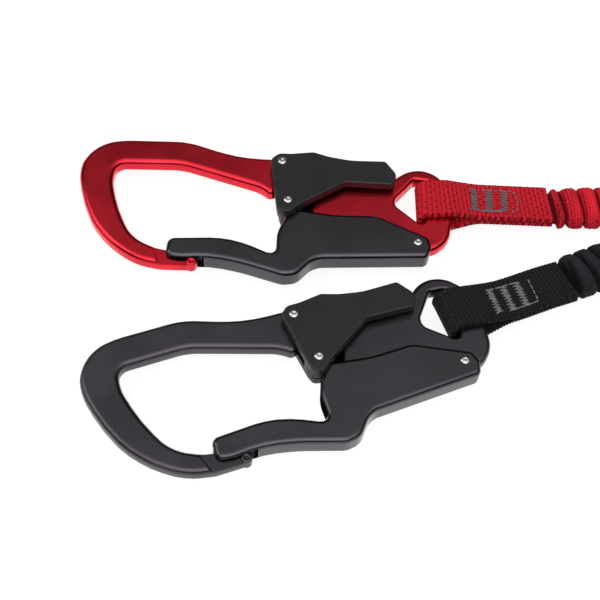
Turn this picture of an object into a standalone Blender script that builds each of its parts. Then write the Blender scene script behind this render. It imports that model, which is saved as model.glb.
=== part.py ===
"""Lanyard for protected climbing routes, as an assembly of separate pieces.

Two palm-squeeze connectors lie flat, each sewn to an elastic arm, and the arms
run to a tear-webbing absorber with its tie-in loop. Metres, +Z up.
"""
import math

import bmesh
import bpy
from mathutils import Matrix, Vector

MM = 0.001

# Connector frame: a plate in a drawing field of this length and width
FRAME_LENGTH = 140 * MM
FRAME_WIDTH = 70 * MM
FRAME_PLATE = 5.8 * MM
FRAME_EDGE = 1.45 * MM
TONGUE_PLATE = 3.6 * MM
FIT_GAP = 0.3 * MM

# Gate: a U-shaped lever astride the frame plate
GATE_PROUD = 1.2 * MM
GATE_EDGE = 1.6 * MM
NOSE_SLOT = 6.0 * MM

# Lock lever: two cheeks outside the gate, joined by a bridge
CHEEK_PLATE = 2.9 * MM
LEVER_EDGE = 0.7 * MM

# Rivets and nose pin
RIVET_SHANK = 1.1 * MM
RIVET_HEAD = 1.65 * MM
RIVET_DOME = 0.7 * MM
RIVET_DIMPLE = 0.45 * MM
PIN_RADIUS = 1.3 * MM
PIN_LENGTH = 5.4 * MM

# Return springs, wound round the two pivot rivets
SPRING_WIRE = 0.3 * MM
SPRING_MEAN = 2.2 * MM
SPRING_PITCH = 1.05 * MM
SPRING_TURNS = 2
RECESS_RADIUS = 3.0 * MM
RECESS_DEPTH = 2.9 * MM

# Webbing loop sewn round the eye's bar
STRAP_WIDTH = 18 * MM
STRAP_PLY = 2.0 * MM
STRAP_LENGTH = 52.2 * MM
STRAP_SLOT = 17.0 * MM
STRAP_CLOSE = 21.8 * MM
STRAP_SAG = 3.2 * MM
STRAP_SAG_START = 0.6 * MM
STRAP_TURN = math.radians(15)

# Elastic arm: a gathered sleeve of oval section
ARM_WIDTH = 18.4 * MM
ARM_HEIGHT = 9.2 * MM
ARM_WAIST_SHARE = 0.8
ARM_SIDES = 8
RUFFLE_PITCH = 6.8 * MM
FLOOR_GAP = 0.5 * MM

# Absorber pouch and what it holds
POUCH_LENGTH = 115 * MM
POUCH_WIDTH = 58 * MM
POUCH_HEIGHT = 30 * MM
POUCH_CORNER = 9 * MM
POUCH_EDGE = 5 * MM
POUCH_WALL = 2.2 * MM
ARM_SPACING = 22.4 * MM
LOOP_MOUTH_HEIGHT = 9 * MM
TEAR_MARGIN = 15.5 * MM
TEAR_WIDTH = 42 * MM
TEAR_PLY = 2.2 * MM
TEAR_LAYERS = 6
FLAP_LENGTH = 84 * MM
FLAP_WIDTH = 40 * MM
FLAP_PLATE = 1.6 * MM
LOOP_WIDTH = 22 * MM
LOOP_PLY = 2.2 * MM
LOOP_REACH = 68 * MM
LOOP_BULB = 10 * MM
LOOP_LEG_SPACE = 4 * MM

# Heights above the floor, and places on it
PLATE_HEIGHT = 8.0 * MM
RED_PLACE = (-220.0 * MM, 36.4 * MM)
BLACK_PLACE = (-189.9 * MM, -57.8 * MM)
RED_TURN = math.radians(-7.9)
BLACK_TURN = math.radians(12.2)
POUCH_PLACE = (157.0 * MM, -63.5 * MM)

# Cutters run past what they cut by this much
OVERRUN = 2 * MM
ARC_STEP = math.radians(16)
ROUND_SIDES = 12
SMOOTH_ANGLE = math.radians(40)

# Outline tables: x and fillet in 150ths of the frame's length, y in 75ths of its width
LENGTH_STEPS = 150
WIDTH_STEPS = 75

lever_pivot_shares = (78.9, 60.6)
latch_rivet_shares = (85.4, 41.4)
gate_pivot_shares = (139.05, 35.6)
nose_pin_shares = (54.7, 7.2)
strap_fold_shares = (134.8, 57.0)

frame_outline_shares = (
    (57.3, 5.3, 2.4), (43.6, 2.4, 6), (33.3, 2.3, 40), (17.3, 9.8, 40),
    (6.2, 23.7, 60), (-0.9, 39.6, 60), (-0.9, 48.4, 30), (4.4, 57.0, 30),
    (12.0, 60.6, 30), (35.5, 65.75, 20), (41.0, 65.75, 20), (54.8, 63.7, 60),
    (64.4, 63.7, 60), (76.6, 66.0, 3), (83.5, 63.0, 6), (93.0, 63.2, 12),
    (104.0, 60.7, 15), (119.0, 60.9, 4), (129.0, 72.7, 12), (133.8, 74.6, 12),
    (137.7, 74.6, 12), (141.4, 73.4, 12), (149.4, 66.9, 12), (151.1, 56.0, 30),
    (151.0, 41.2, 10), (146.5, 35.0, 8), (141.6, 33.0, 4), (137.2, 32.4, 3.2),
    (133.0, 34.5, 3), (97.0, 34.5, 2.5), (94.0, 38.0, 2), (94.0, 52.8, 3),
    (79.5, 52.8, 3), (79.7, 44.7, 2.0), (72.0, 49.4, 14), (38.5, 53.4, 20),
    (13.2, 47.7, 4.6), (13.1, 39.8, 40), (20.1, 24.8, 60), (29.6, 12.5, 20),
    (40.0, 9.8, 10), (57.0, 10.2, 1.9),
)

eye_hole_shares = (
    (126.9, 57.5, 4), (132.7, 68.6, 1.6), (140.2, 69.0, 2.2), (140.2, 45.0, 2.2),
    (126.9, 53.5, 4),
)

# The frame is thinned to a tongue on the nose side of this slanted line
tongue_cut_shares = ((39.4, 13.0, 0), (44.4, 0.5, 0), (63.0, 0.5, 0), (63.0, 13.0, 0))

gate_outline_shares = (
    (43.4, 14.8, 2.4), (62.7, 19.9, 10), (72.0, 19.9, 15), (85.8, 16.4, 2.6),
    (83.9, 27.6, 12), (86.4, 40.6, 2.0), (105.0, 41.7, 40), (121.0, 45.4, 6),
    (142.8, 39.4, 3), (144.9, 35.0, 3), (144.0, 29.8, 2.6), (101.0, 18.6, 8),
    (96.0, 9.6, 6), (90.8, 7.6, 6), (73.5, 9.5, 20), (61.2, 9.5, 10),
    (49.8, 6.2, 6), (44.3, 6.2, 2.0),
)

# The gate's slot for the frame plate leaves a floor and a catch lug
gate_slot_shares = (
    (78.0, 18.4, 0), (88.6, 18.4, 0.6), (88.6, 37.0, 0.5), (91.0, 37.0, 0.5),
    (91.0, 24.0, 0.6), (96.5, 24.0, 0.8), (99.5, 21.4, 1), (139.0, 31.9, 4),
    (156.0, 36.0, 0), (156.0, 60.0, 0), (78.0, 60.0, 0),
)

nose_slot_shares = ((40.0, 0.0, 0), (59.3, 0.0, 0), (59.3, 10.55, 1.5), (40.0, 10.55, 0))

lever_outline_shares = (
    (74.0, 60.8, 3), (76.6, 64.6, 3.2), (81.5, 65.6, 10), (90.2, 68.7, 2.5),
    (97.0, 67.85, 15), (106.0, 68.0, 20), (119.8, 71.0, 0.8), (125.3, 65.4, 2),
    (125.3, 59.4, 2.4), (106.0, 56.0, 4), (90.3, 40.2, 5), (87.0, 35.3, 3.5),
    (82.3, 35.3, 4.2),
)

# All of the lever's slot but the bridge that joins the cheeks along the spine
lever_slot_shares = (
    (60.0, 20.0, 0), (140.0, 20.0, 0), (140.0, 80.0, 0), (117.0, 80.0, 0),
    (117.0, 68.7, 0), (106.0, 66.4, 10), (97.0, 66.3, 10), (90.3, 67.1, 2),
    (84.5, 65.2, 0), (84.5, 80.0, 0), (60.0, 80.0, 0),
)

# The back cheek's lobe is smaller than the front one's by this strip
back_trim_shares = (
    (68.0, 62.0, 0), (75.6, 62.0, 0), (82.1, 42.0, 4), (83.8, 39.0, 2),
    (88.6, 39.0, 2), (93.0, 42.4, 0), (96.0, 36.0, 0), (90.0, 28.0, 0), (68.0, 28.0, 0),
)

latch_outline_shares = (
    (82.7, 51.8, 1), (82.5, 45.6, 1), (80.6, 43.6, 0.8), (81.4, 41.0, 2),
    (83.7, 38.4, 2), (88.54, 38.4, 0.5), (90.4, 45.0, 0), (92.0, 51.8, 1),
)

# Springs: where each leg ends, and the clearance cut that lets the gate spring's leg swing
gate_leg_shares = ((131.0, 31.1), (125.0, 29.6))
lever_leg_shares = ((83.0, 62.8), (91.0, 65.6))
gate_leg_cut_shares = ((139.05, 35.6, 0), (139.05, 28.0, 0), (126.0, 28.0, 0), (126.0, 37.6, 0))

# Free routes of the two arms, from the sewn loop to the pouch, chosen by hand
red_arm_route = (
    (0.0020, 0.0828, 0.0052), (0.0270, 0.0838, 0.0052), (0.0570, 0.0842, 0.0052),
    (0.1070, 0.0840, 0.0052), (0.1620, 0.0838, 0.0052), (0.2120, 0.0837, 0.0052),
    (0.2590, 0.0835, 0.0053), (0.2920, 0.0750, 0.0080), (0.3160, 0.0510, 0.0140),
    (0.3255, 0.0230, 0.0163), (0.3245, -0.0040, 0.0163), (0.3120, -0.0290, 0.0140),
    (0.2870, -0.0450, 0.0085), (0.2580, -0.0510, 0.0080), (0.2400, -0.0520, 0.0135),
    (0.2270, -0.0523, 0.0150), (0.2150, -0.0523, 0.0150), (0.2040, -0.0523, 0.0150),
)
black_arm_route = (
    (0.0040, 0.0580, 0.0052), (0.0270, 0.0602, 0.0052),
    (0.0520, 0.0600, 0.0052), (0.0820, 0.0590, 0.0052), (0.1420, 0.0585, 0.0052),
    (0.2020, 0.0583, 0.0052), (0.2520, 0.0575, 0.0052), (0.2790, 0.0500, 0.0052),
    (0.3000, 0.0310, 0.0052), (0.3160, 0.0060, 0.0052), (0.3210, -0.0200, 0.0052),
    (0.3120, -0.0470, 0.0052), (0.2910, -0.0670, 0.0052), (0.2620, -0.0745, 0.0070),
    (0.2400, -0.0745, 0.0132), (0.2270, -0.0747, 0.0150), (0.2150, -0.0747, 0.0150),
    (0.2040, -0.0747, 0.0150),
)

GATE_HALF = FRAME_PLATE / 2 + GATE_PROUD
CHEEK_INNER = GATE_HALF + FIT_GAP
LEVER_HALF = CHEEK_INNER + CHEEK_PLATE
SLOT_HALF = FRAME_PLATE / 2 + FIT_GAP


def clear_scene():
    """Remove every object that the file holds."""
    for item in list(bpy.data.objects):
        bpy.data.objects.remove(item, do_unlink=True)


def new_collection(name):
    """A collection of that name in the scene."""
    group = bpy.data.collections.new(name)
    bpy.context.scene.collection.children.link(group)
    return group


def finish(name, colour, roughness, metallic):
    """A plain surface of the given colour."""
    material = bpy.data.materials.new(name)
    material.use_nodes = True
    shader = material.node_tree.nodes["Principled BSDF"]
    shader.inputs["Base Color"].default_value = (*colour, 1)
    shader.inputs["Roughness"].default_value = roughness
    shader.inputs["Metallic"].default_value = metallic
    return material


def field(shares):
    """A point of a table, in metres from the field's lower left corner."""
    return Vector((shares[0] * FRAME_LENGTH / LENGTH_STEPS, shares[1] * FRAME_WIDTH / WIDTH_STEPS))


def field_corners(table):
    """A table of corners with fillets, in metres."""
    corners = []
    for shares in table:
        point = field(shares)
        corners.append((point.x, point.y, shares[2] * FRAME_LENGTH / LENGTH_STEPS))
    return corners


def rounded(corners):
    """A closed outline through corners (x, y, fillet), each fillet an arc that fits its edges."""
    outline = []
    for i, (x, y, fillet) in enumerate(corners):
        corner = Vector((x, y))
        before = Vector(corners[i - 1][:2]) - corner
        after = Vector(corners[(i + 1) % len(corners)][:2]) - corner
        turn = math.pi - before.angle(after)
        if fillet == 0 or turn < ARC_STEP / 8:
            outline.append(corner)
            continue
        reach = min(fillet * math.tan(turn / 2), before.length / 2, after.length / 2)
        radius = reach / math.tan(turn / 2)
        before.normalize()
        after.normalize()
        centre = corner + (before + after).normalized() * radius / math.cos(turn / 2)
        arm = corner + before * reach - centre
        sign = -1 if before.x * after.y - before.y * after.x > 0 else 1
        steps = max(1, round(turn / ARC_STEP))
        for k in range(steps + 1):
            outline.append(centre + Matrix.Rotation(sign * turn * k / steps, 2) @ arm)
    kept = []
    for point in outline:
        if not kept or (point - kept[-1]).length > FIT_GAP / 4:
            kept.append(point)
    if (kept[0] - kept[-1]).length <= FIT_GAP / 4:
        kept.pop()
    return kept


def mesh_of_curve(curve_object):
    """The curve's surface as a mesh with its caps welded on."""
    depsgraph = bpy.context.evaluated_depsgraph_get()
    mesh = bpy.data.meshes.new_from_object(curve_object.evaluated_get(depsgraph))
    model = bmesh.new()
    model.from_mesh(mesh)
    bmesh.ops.remove_doubles(model, verts=model.verts, dist=FIT_GAP / 30)
    bmesh.ops.recalc_face_normals(model, faces=model.faces)
    model.to_mesh(mesh)
    model.free()
    return mesh


def add_object(name, mesh, group, material, parent=None):
    """An object that holds the mesh, in a collection and under a parent."""
    item = bpy.data.objects.new(name, mesh)
    group.objects.link(item)
    if material is not None:
        mesh.materials.clear()
        mesh.materials.append(material)
    mesh.shade_smooth()
    mesh.set_sharp_from_angle(angle=SMOOTH_ANGLE)
    item.parent = parent
    return item


def add_empty(name, group, location, turn=0.0, parent=None):
    """An empty that carries pieces, turned about +Z."""
    item = bpy.data.objects.new(name, None)
    group.objects.link(item)
    item.location = location
    item.rotation_euler = (0, 0, turn)
    item.parent = parent
    return item


def plate(name, outlines, thickness, group, material, parent=None, rim=0.0):
    """A flat plate centred on z = 0, the first outline's shape less the rest, with rounded rims."""
    data = bpy.data.curves.new(name, "CURVE")
    data.dimensions = "2D"
    data.fill_mode = "BOTH"
    data.extrude = thickness / 2 - rim
    data.bevel_depth = rim
    data.bevel_resolution = 1
    data.offset = -rim
    for outline in outlines:
        spline = data.splines.new("POLY")
        spline.points.add(len(outline) - 1)
        for slot, point in zip(spline.points, outline):
            slot.co = (point[0], point[1], 0, 1)
        spline.use_cyclic_u = True
    drawn = bpy.data.objects.new(name + "_drawn", data)
    group.objects.link(drawn)
    mesh = mesh_of_curve(drawn)
    bpy.data.objects.remove(drawn)
    mesh.name = name
    return add_object(name, mesh, group, material, parent)


def move_pivot(item, pivot):
    """Put an object's origin on its joint's axis without moving its surface."""
    offset = Vector((pivot.x, pivot.y, 0))
    item.data.transform(Matrix.Translation(-offset))
    item.location = offset


def hang(item, hinge):
    """Put a piece under the empty on its joint's axis without moving it."""
    item.location = item.location - hinge.location
    item.parent = hinge


def cut(item, cutter):
    """Take the cutter's shape out of an object."""
    cutter.hide_render = True
    cutter.display_type = "WIRE"
    difference = item.modifiers.new(cutter.name, "BOOLEAN")
    difference.operation = "DIFFERENCE"
    difference.object = cutter


def round_bar(name, radius, length, group, parent, place):
    """A cylinder along +Z, centred on the place."""
    model = bmesh.new()
    bmesh.ops.create_cone(
        model, cap_ends=True, segments=ROUND_SIDES, radius1=radius, radius2=radius, depth=length)
    mesh = bpy.data.meshes.new(name)
    model.to_mesh(mesh)
    model.free()
    item = add_object(name, mesh, group, None, parent)
    item.location = place
    return item


def turned(name, profile, group, material, parent, place):
    """A turned piece about +Z, from a profile that runs from its top pole to its bottom pole."""
    mesh = bpy.data.meshes.new(name)
    mesh.from_pydata([(r, 0, z) for r, z in profile], [(i, i + 1) for i in range(len(profile) - 1)], [])
    item = add_object(name, mesh, group, material, parent)
    item.location = place
    screw = item.modifiers.new("turn", "SCREW")
    screw.steps = ROUND_SIDES
    screw.render_steps = ROUND_SIDES
    screw.use_merge_vertices = True
    screw.merge_threshold = 0.00001
    return item


def rivet(name, grip, group, material, parent, place):
    """A rivet through a stack of that half thickness, with a dimpled dome at each end."""
    rim = RIVET_DOME / 4
    upper = [
        (0, grip + RIVET_DOME - RIVET_DIMPLE),
        (RIVET_DIMPLE, grip + RIVET_DOME),
        (RIVET_HEAD * 0.72, grip + RIVET_DOME * 0.8),
        (RIVET_HEAD, grip + rim),
        (RIVET_HEAD, grip + FIT_GAP / 4),
        (RIVET_SHANK, grip + FIT_GAP / 4),
    ]
    profile = upper + [(r, -z) for r, z in reversed(upper)]
    return turned(name, profile, group, material, parent, place)


def smooth_route(points, spacing):
    """Points at even spacing along a smooth curve through the given ones."""
    knots = [Vector(p) for p in points]
    fine = []
    per_span = 24
    for i in range(len(knots) - 1):
        p0 = knots[i - 1] if i > 0 else 2 * knots[0] - knots[1]
        p1, p2 = knots[i], knots[i + 1]
        p3 = knots[i + 2] if i + 2 < len(knots) else 2 * knots[-1] - knots[-2]
        for k in range(per_span):
            t = k / per_span
            fine.append(0.5 * ((2 * p1) + (p2 - p0) * t + (2 * p0 - 5 * p1 + 4 * p2 - p3) * t * t
                               + (3 * p1 - 3 * p2 + p3 - p0) * t ** 3))
    fine.append(knots[-1])
    total = sum((b - a).length for a, b in zip(fine, fine[1:]))
    count = max(2, round(total / spacing))
    step = total / count
    even, walked, target = [fine[0]], 0.0, step
    for a, b in zip(fine, fine[1:]):
        length = (b - a).length
        while len(even) < count and walked + length >= target:
            even.append(a.lerp(b, (target - walked) / length))
            target += step
        walked += length
    even.append(fine[-1])
    return even


def wire(name, points, radius, group, material, parent=None):
    """A round wire along the points, as a welded mesh."""
    data = bpy.data.curves.new(name, "CURVE")
    data.dimensions = "3D"
    data.bevel_depth = radius
    data.bevel_resolution = 1
    data.use_fill_caps = True
    spline = data.splines.new("POLY")
    spline.points.add(len(points) - 1)
    for slot, point in zip(spline.points, points):
        slot.co = (*point, 1)
    drawn = bpy.data.objects.new(name + "_drawn", data)
    group.objects.link(drawn)
    mesh = mesh_of_curve(drawn)
    bpy.data.objects.remove(drawn)
    mesh.name = name
    return add_object(name, mesh, group, material, parent)


def torsion_spring(name, leg, top, group, material, parent):
    """A coil round the piece's own axis that ends in a straight leg, its first turn at z = top."""
    start = math.atan2(leg[0].y, leg[0].x) + math.pi / 2
    steps_per_turn = 9
    points = []
    for k in range(SPRING_TURNS * steps_per_turn + 1):
        angle = start + math.tau * k / steps_per_turn
        points.append((
            SPRING_MEAN * math.cos(angle), SPRING_MEAN * math.sin(angle),
            top - SPRING_PITCH * k / steps_per_turn))
    points.reverse()
    for point in leg:
        points.append((point.x, point.y, top))
    gap = min(
        (Vector(points[i]) - Vector(points[j])).length
        for i in range(len(points)) for j in range(i + 4, len(points)))
    print(name, "least gap between turns", round((gap - 2 * SPRING_WIRE) / MM, 2), "mm")
    return wire(name, points, SPRING_WIRE, group, material, parent)


def ribbon(name, points, width, ply, group, material, parent=None):
    """A band of webbing along points in the XZ plane, its width along Y."""
    mesh = bpy.data.meshes.new(name)
    model = bmesh.new()
    verts = [model.verts.new((x, -width / 2, z)) for x, z in points]
    edges = [model.edges.new(pair) for pair in zip(verts, verts[1:])]
    grown = bmesh.ops.extrude_edge_only(model, edges=edges)["geom"]
    moved = [item for item in grown if isinstance(item, bmesh.types.BMVert)]
    bmesh.ops.translate(model, verts=moved, vec=(0, width, 0))
    model.to_mesh(mesh)
    model.free()
    item = add_object(name, mesh, group, material, parent)
    thick = item.modifiers.new("ply", "SOLIDIFY")
    thick.thickness = ply
    thick.offset = 0
    return item


def make_frame(prefix, group, cutters, anchor, material):
    """The C-shaped frame with its eye, latch pocket, rivet holes, spring recesses and tongue."""
    frame = plate(
        prefix + "_frame",
        [rounded(field_corners(frame_outline_shares)), rounded(field_corners(eye_hole_shares))],
        FRAME_PLATE, group, material, anchor, FRAME_EDGE)
    slab = FRAME_PLATE - TONGUE_PLATE
    for side, sign in (("front", 1), ("back", -1)):
        thinner = plate(
            prefix + "_tongue_cut_" + side, [rounded(field_corners(tongue_cut_shares))],
            slab, cutters, None, anchor)
        thinner.location.z = sign * (TONGUE_PLATE / 2 + slab / 2)
        cut(frame, thinner)
    for tag, shares in (("lever", lever_pivot_shares), ("gate", gate_pivot_shares)):
        pivot = field(shares)
        cut(frame, round_bar(
            prefix + "_" + tag + "_hole", RIVET_SHANK + FIT_GAP, FRAME_PLATE + 2 * OVERRUN,
            cutters, anchor, (pivot.x, pivot.y, 0)))
        cut(frame, round_bar(
            prefix + "_" + tag + "_recess", RECESS_RADIUS, 2 * RECESS_DEPTH,
            cutters, anchor, (pivot.x, pivot.y, FRAME_PLATE / 2)))
    leg_way = plate(
        prefix + "_leg_way", [rounded(field_corners(gate_leg_cut_shares))],
        2 * RECESS_DEPTH, cutters, None, anchor)
    leg_way.location.z = FRAME_PLATE / 2
    cut(frame, leg_way)
    pin = field(nose_pin_shares)
    cut(frame, round_bar(
        prefix + "_pin_hole", PIN_RADIUS + FIT_GAP, FRAME_PLATE + 2 * OVERRUN,
        cutters, anchor, (pin.x, pin.y, 0)))
    return frame


def make_gate(prefix, group, cutters, anchor, material):
    """The gate: cheeks and floor round the frame plate, with a catch lug and a nose slot."""
    pivot = field(gate_pivot_shares)
    gate = plate(
        prefix + "_gate", [rounded(field_corners(gate_outline_shares))],
        2 * GATE_HALF, group, material, anchor, GATE_EDGE)
    move_pivot(gate, pivot)
    cut(gate, plate(
        prefix + "_plate_slot", [rounded(field_corners(gate_slot_shares))],
        2 * SLOT_HALF, cutters, None, anchor))
    cut(gate, plate(
        prefix + "_nose_slot", [rounded(field_corners(nose_slot_shares))],
        NOSE_SLOT, cutters, None, anchor))
    cut(gate, round_bar(
        prefix + "_gate_bore", RIVET_SHANK + FIT_GAP, 2 * GATE_HALF + 2 * OVERRUN,
        cutters, anchor, (pivot.x, pivot.y, 0)))
    return gate


def make_lever(prefix, group, cutters, anchor, material):
    """The palm lever: two cheeks and the bridge that joins them along the spine."""
    pivot = field(lever_pivot_shares)
    lever = plate(
        prefix + "_lock_lever", [rounded(field_corners(lever_outline_shares))],
        2 * LEVER_HALF, group, material, anchor, LEVER_EDGE)
    move_pivot(lever, pivot)
    cut(lever, plate(
        prefix + "_lever_slot", [rounded(field_corners(lever_slot_shares))],
        2 * CHEEK_INNER, cutters, None, anchor))
    trim = plate(
        prefix + "_back_trim", [rounded(field_corners(back_trim_shares))],
        LEVER_HALF, cutters, None, anchor)
    trim.location.z = -LEVER_HALF
    cut(lever, trim)
    for tag, shares in (("front", lever_pivot_shares), ("lobe", latch_rivet_shares)):
        centre = field(shares)
        cut(lever, round_bar(
            prefix + "_lever_" + tag + "_bore", RIVET_SHANK + FIT_GAP,
            2 * LEVER_HALF + 2 * OVERRUN, cutters, anchor, (centre.x, centre.y, 0)))
    return lever


def make_latch(prefix, group, cutters, anchor, material):
    """The latch between the cheeks, whose slanted face stands over the gate's catch lug."""
    pivot = field(lever_pivot_shares)
    centre = field(latch_rivet_shares)
    latch = plate(
        prefix + "_latch_block", [rounded(field_corners(latch_outline_shares))],
        FRAME_PLATE, group, material, anchor)
    move_pivot(latch, pivot)
    cut(latch, round_bar(
        prefix + "_latch_bore", RIVET_SHANK + FIT_GAP, FRAME_PLATE + 2 * OVERRUN,
        cutters, anchor, (centre.x, centre.y, 0)))
    return latch


def make_springs(prefix, group, anchor, material):
    """The gate's and the lever's return springs, each with the leg that pushes its lever."""
    springs = []
    for name, shares, leg_shares, top in (
            ("_gate_spring", gate_pivot_shares, gate_leg_shares, FRAME_PLATE / 2 - SPRING_WIRE),
            ("_lock_spring", lever_pivot_shares, lever_leg_shares,
             FRAME_PLATE / 2 + FIT_GAP + SPRING_WIRE)):
        pivot = field(shares)
        leg = [field(point) - pivot for point in leg_shares]
        spring = torsion_spring(prefix + name, leg, top, group, material, anchor)
        spring.location = (pivot.x, pivot.y, 0)
        springs.append(spring)
    return springs


def make_strap(prefix, group, anchor, material):
    """The webbing loop: one ply round the eye's bar, sewn to itself behind it."""
    half_slot = FRAME_PLATE / 2 + FIT_GAP
    half_loop = half_slot + STRAP_PLY
    outer = [
        (0, half_loop, half_loop * 0.9), (STRAP_SLOT, half_loop, half_loop),
        (STRAP_CLOSE, STRAP_PLY - STRAP_SAG_START, half_loop),
        (STRAP_LENGTH, STRAP_PLY - STRAP_SAG, FIT_GAP),
        (STRAP_LENGTH, -STRAP_PLY - STRAP_SAG, FIT_GAP),
        (STRAP_CLOSE, -STRAP_PLY - STRAP_SAG_START, half_loop),
        (STRAP_SLOT, -half_loop, half_loop), (0, -half_loop, half_loop * 0.9),
    ]
    inner = [
        (STRAP_PLY, half_slot, half_slot * 0.9), (STRAP_SLOT, half_slot, half_slot),
        (STRAP_CLOSE, -STRAP_SAG_START, 0),
        (STRAP_SLOT, -half_slot, half_slot), (STRAP_PLY, -half_slot, half_slot * 0.9),
    ]
    strap = plate(
        prefix + "_webbing_loop", [rounded(outer), rounded(inner)],
        STRAP_WIDTH, group, material, anchor)
    fold = field(strap_fold_shares)
    strap.data.transform(Matrix.Rotation(math.pi / 2, 4, "X"))
    strap.rotation_euler = (0, 0, STRAP_TURN)
    strap.location = (fold.x, fold.y, 0)
    return strap


def arm_start(place, turn):
    """Where an arm leaves the strap sewn to the connector at that place, as the route's straight start."""
    fold = field(strap_fold_shares)
    corner = Vector(place) + Matrix.Rotation(turn, 2) @ fold
    along = Matrix.Rotation(turn + STRAP_TURN, 2) @ Vector((1, 0))
    height = ARM_HEIGHT / 2 + FLOOR_GAP
    start = corner + along * (STRAP_LENGTH + FIT_GAP)
    return tuple((*(start + along * ARM_WIDTH * k / 2), height) for k in range(3))


def make_arm(name, route, group, cutters, material):
    """An elastic arm: an oval sleeve whose gathers repeat along the route."""
    points = smooth_route(route, RUFFLE_PITCH / 2)
    profile = bpy.data.curves.new(name + "_section", "CURVE")
    profile.dimensions = "2D"
    ring = profile.splines.new("POLY")
    ring.points.add(ARM_SIDES - 1)
    flat = math.cos(math.pi / ARM_SIDES)
    for k in range(ARM_SIDES):
        angle = math.tau * (k + 0.5) / ARM_SIDES
        ring.points[k].co = (
            ARM_WIDTH / 2 * math.cos(angle) / flat, ARM_HEIGHT / 2 * math.sin(angle) / flat, 0, 1)
    ring.use_cyclic_u = True
    section = bpy.data.objects.new(name + "_section", profile)
    cutters.objects.link(section)
    section.hide_render = True
    section.display_type = "WIRE"
    data = bpy.data.curves.new(name, "CURVE")
    data.dimensions = "3D"
    data.twist_mode = "Z_UP"
    data.bevel_mode = "OBJECT"
    data.bevel_object = section
    data.use_fill_caps = True
    spline = data.splines.new("POLY")
    spline.points.add(len(points) - 1)
    for k, (slot, point) in enumerate(zip(spline.points, points)):
        slot.co = (*point, 1)
        plain = min(k, len(points) - 1 - k) * RUFFLE_PITCH / 2 < ARM_WIDTH
        slot.radius = ARM_WAIST_SHARE if plain or k % 2 else 1
    drawn = bpy.data.objects.new(name + "_drawn", data)
    group.objects.link(drawn)
    mesh = mesh_of_curve(drawn)
    bpy.data.objects.remove(drawn)
    mesh.name = name
    length = sum((b - a).length for a, b in zip(points, points[1:]))
    print(name, "length", round(length / MM), "mm")
    return add_object(name, mesh, group, material)


def make_connector(prefix, place, turn, group, cutters, finishes):
    """One connector with its sewn webbing loop, laid flat at its place."""
    anchor = add_empty(prefix + "_connector", group, (*place, PLATE_HEIGHT), turn)
    make_frame(prefix, group, cutters, anchor, finishes[prefix + "_frame"])
    gate = make_gate(prefix, group, cutters, anchor, finishes["gate"])
    lever = make_lever(prefix, group, cutters, anchor, finishes["lever"])
    latch = make_latch(prefix, group, cutters, anchor, finishes["lever"])
    rivets = []
    for name, shares, grip in (
            ("_lever_rivet", lever_pivot_shares, LEVER_HALF),
            ("_latch_rivet", latch_rivet_shares, LEVER_HALF),
            ("_gate_rivet", gate_pivot_shares, GATE_HALF)):
        centre = field(shares)
        rivets.append(rivet(
            prefix + name, grip, group, finishes["rivet"], anchor, (centre.x, centre.y, 0)))
    gate_spring, lock_spring = make_springs(prefix, group, anchor, finishes["spring"])
    pin = field(nose_pin_shares)
    nose_pin = round_bar(
        prefix + "_nose_pin", PIN_RADIUS, PIN_LENGTH, group, anchor, (pin.x, pin.y, 0))
    nose_pin.data.materials.append(finishes[prefix + "_frame"])
    make_strap(prefix, group, anchor, finishes[prefix + "_webbing"])
    for tag, shares, moving in (
            ("_gate_hinge", gate_pivot_shares, (gate, gate_spring)),
            ("_lever_hinge", lever_pivot_shares, (lever, latch, rivets[1], lock_spring))):
        pivot = field(shares)
        hinge = add_empty(prefix + tag, group, (pivot.x, pivot.y, 0), parent=anchor)
        for item in moving:
            hang(item, hinge)


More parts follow.
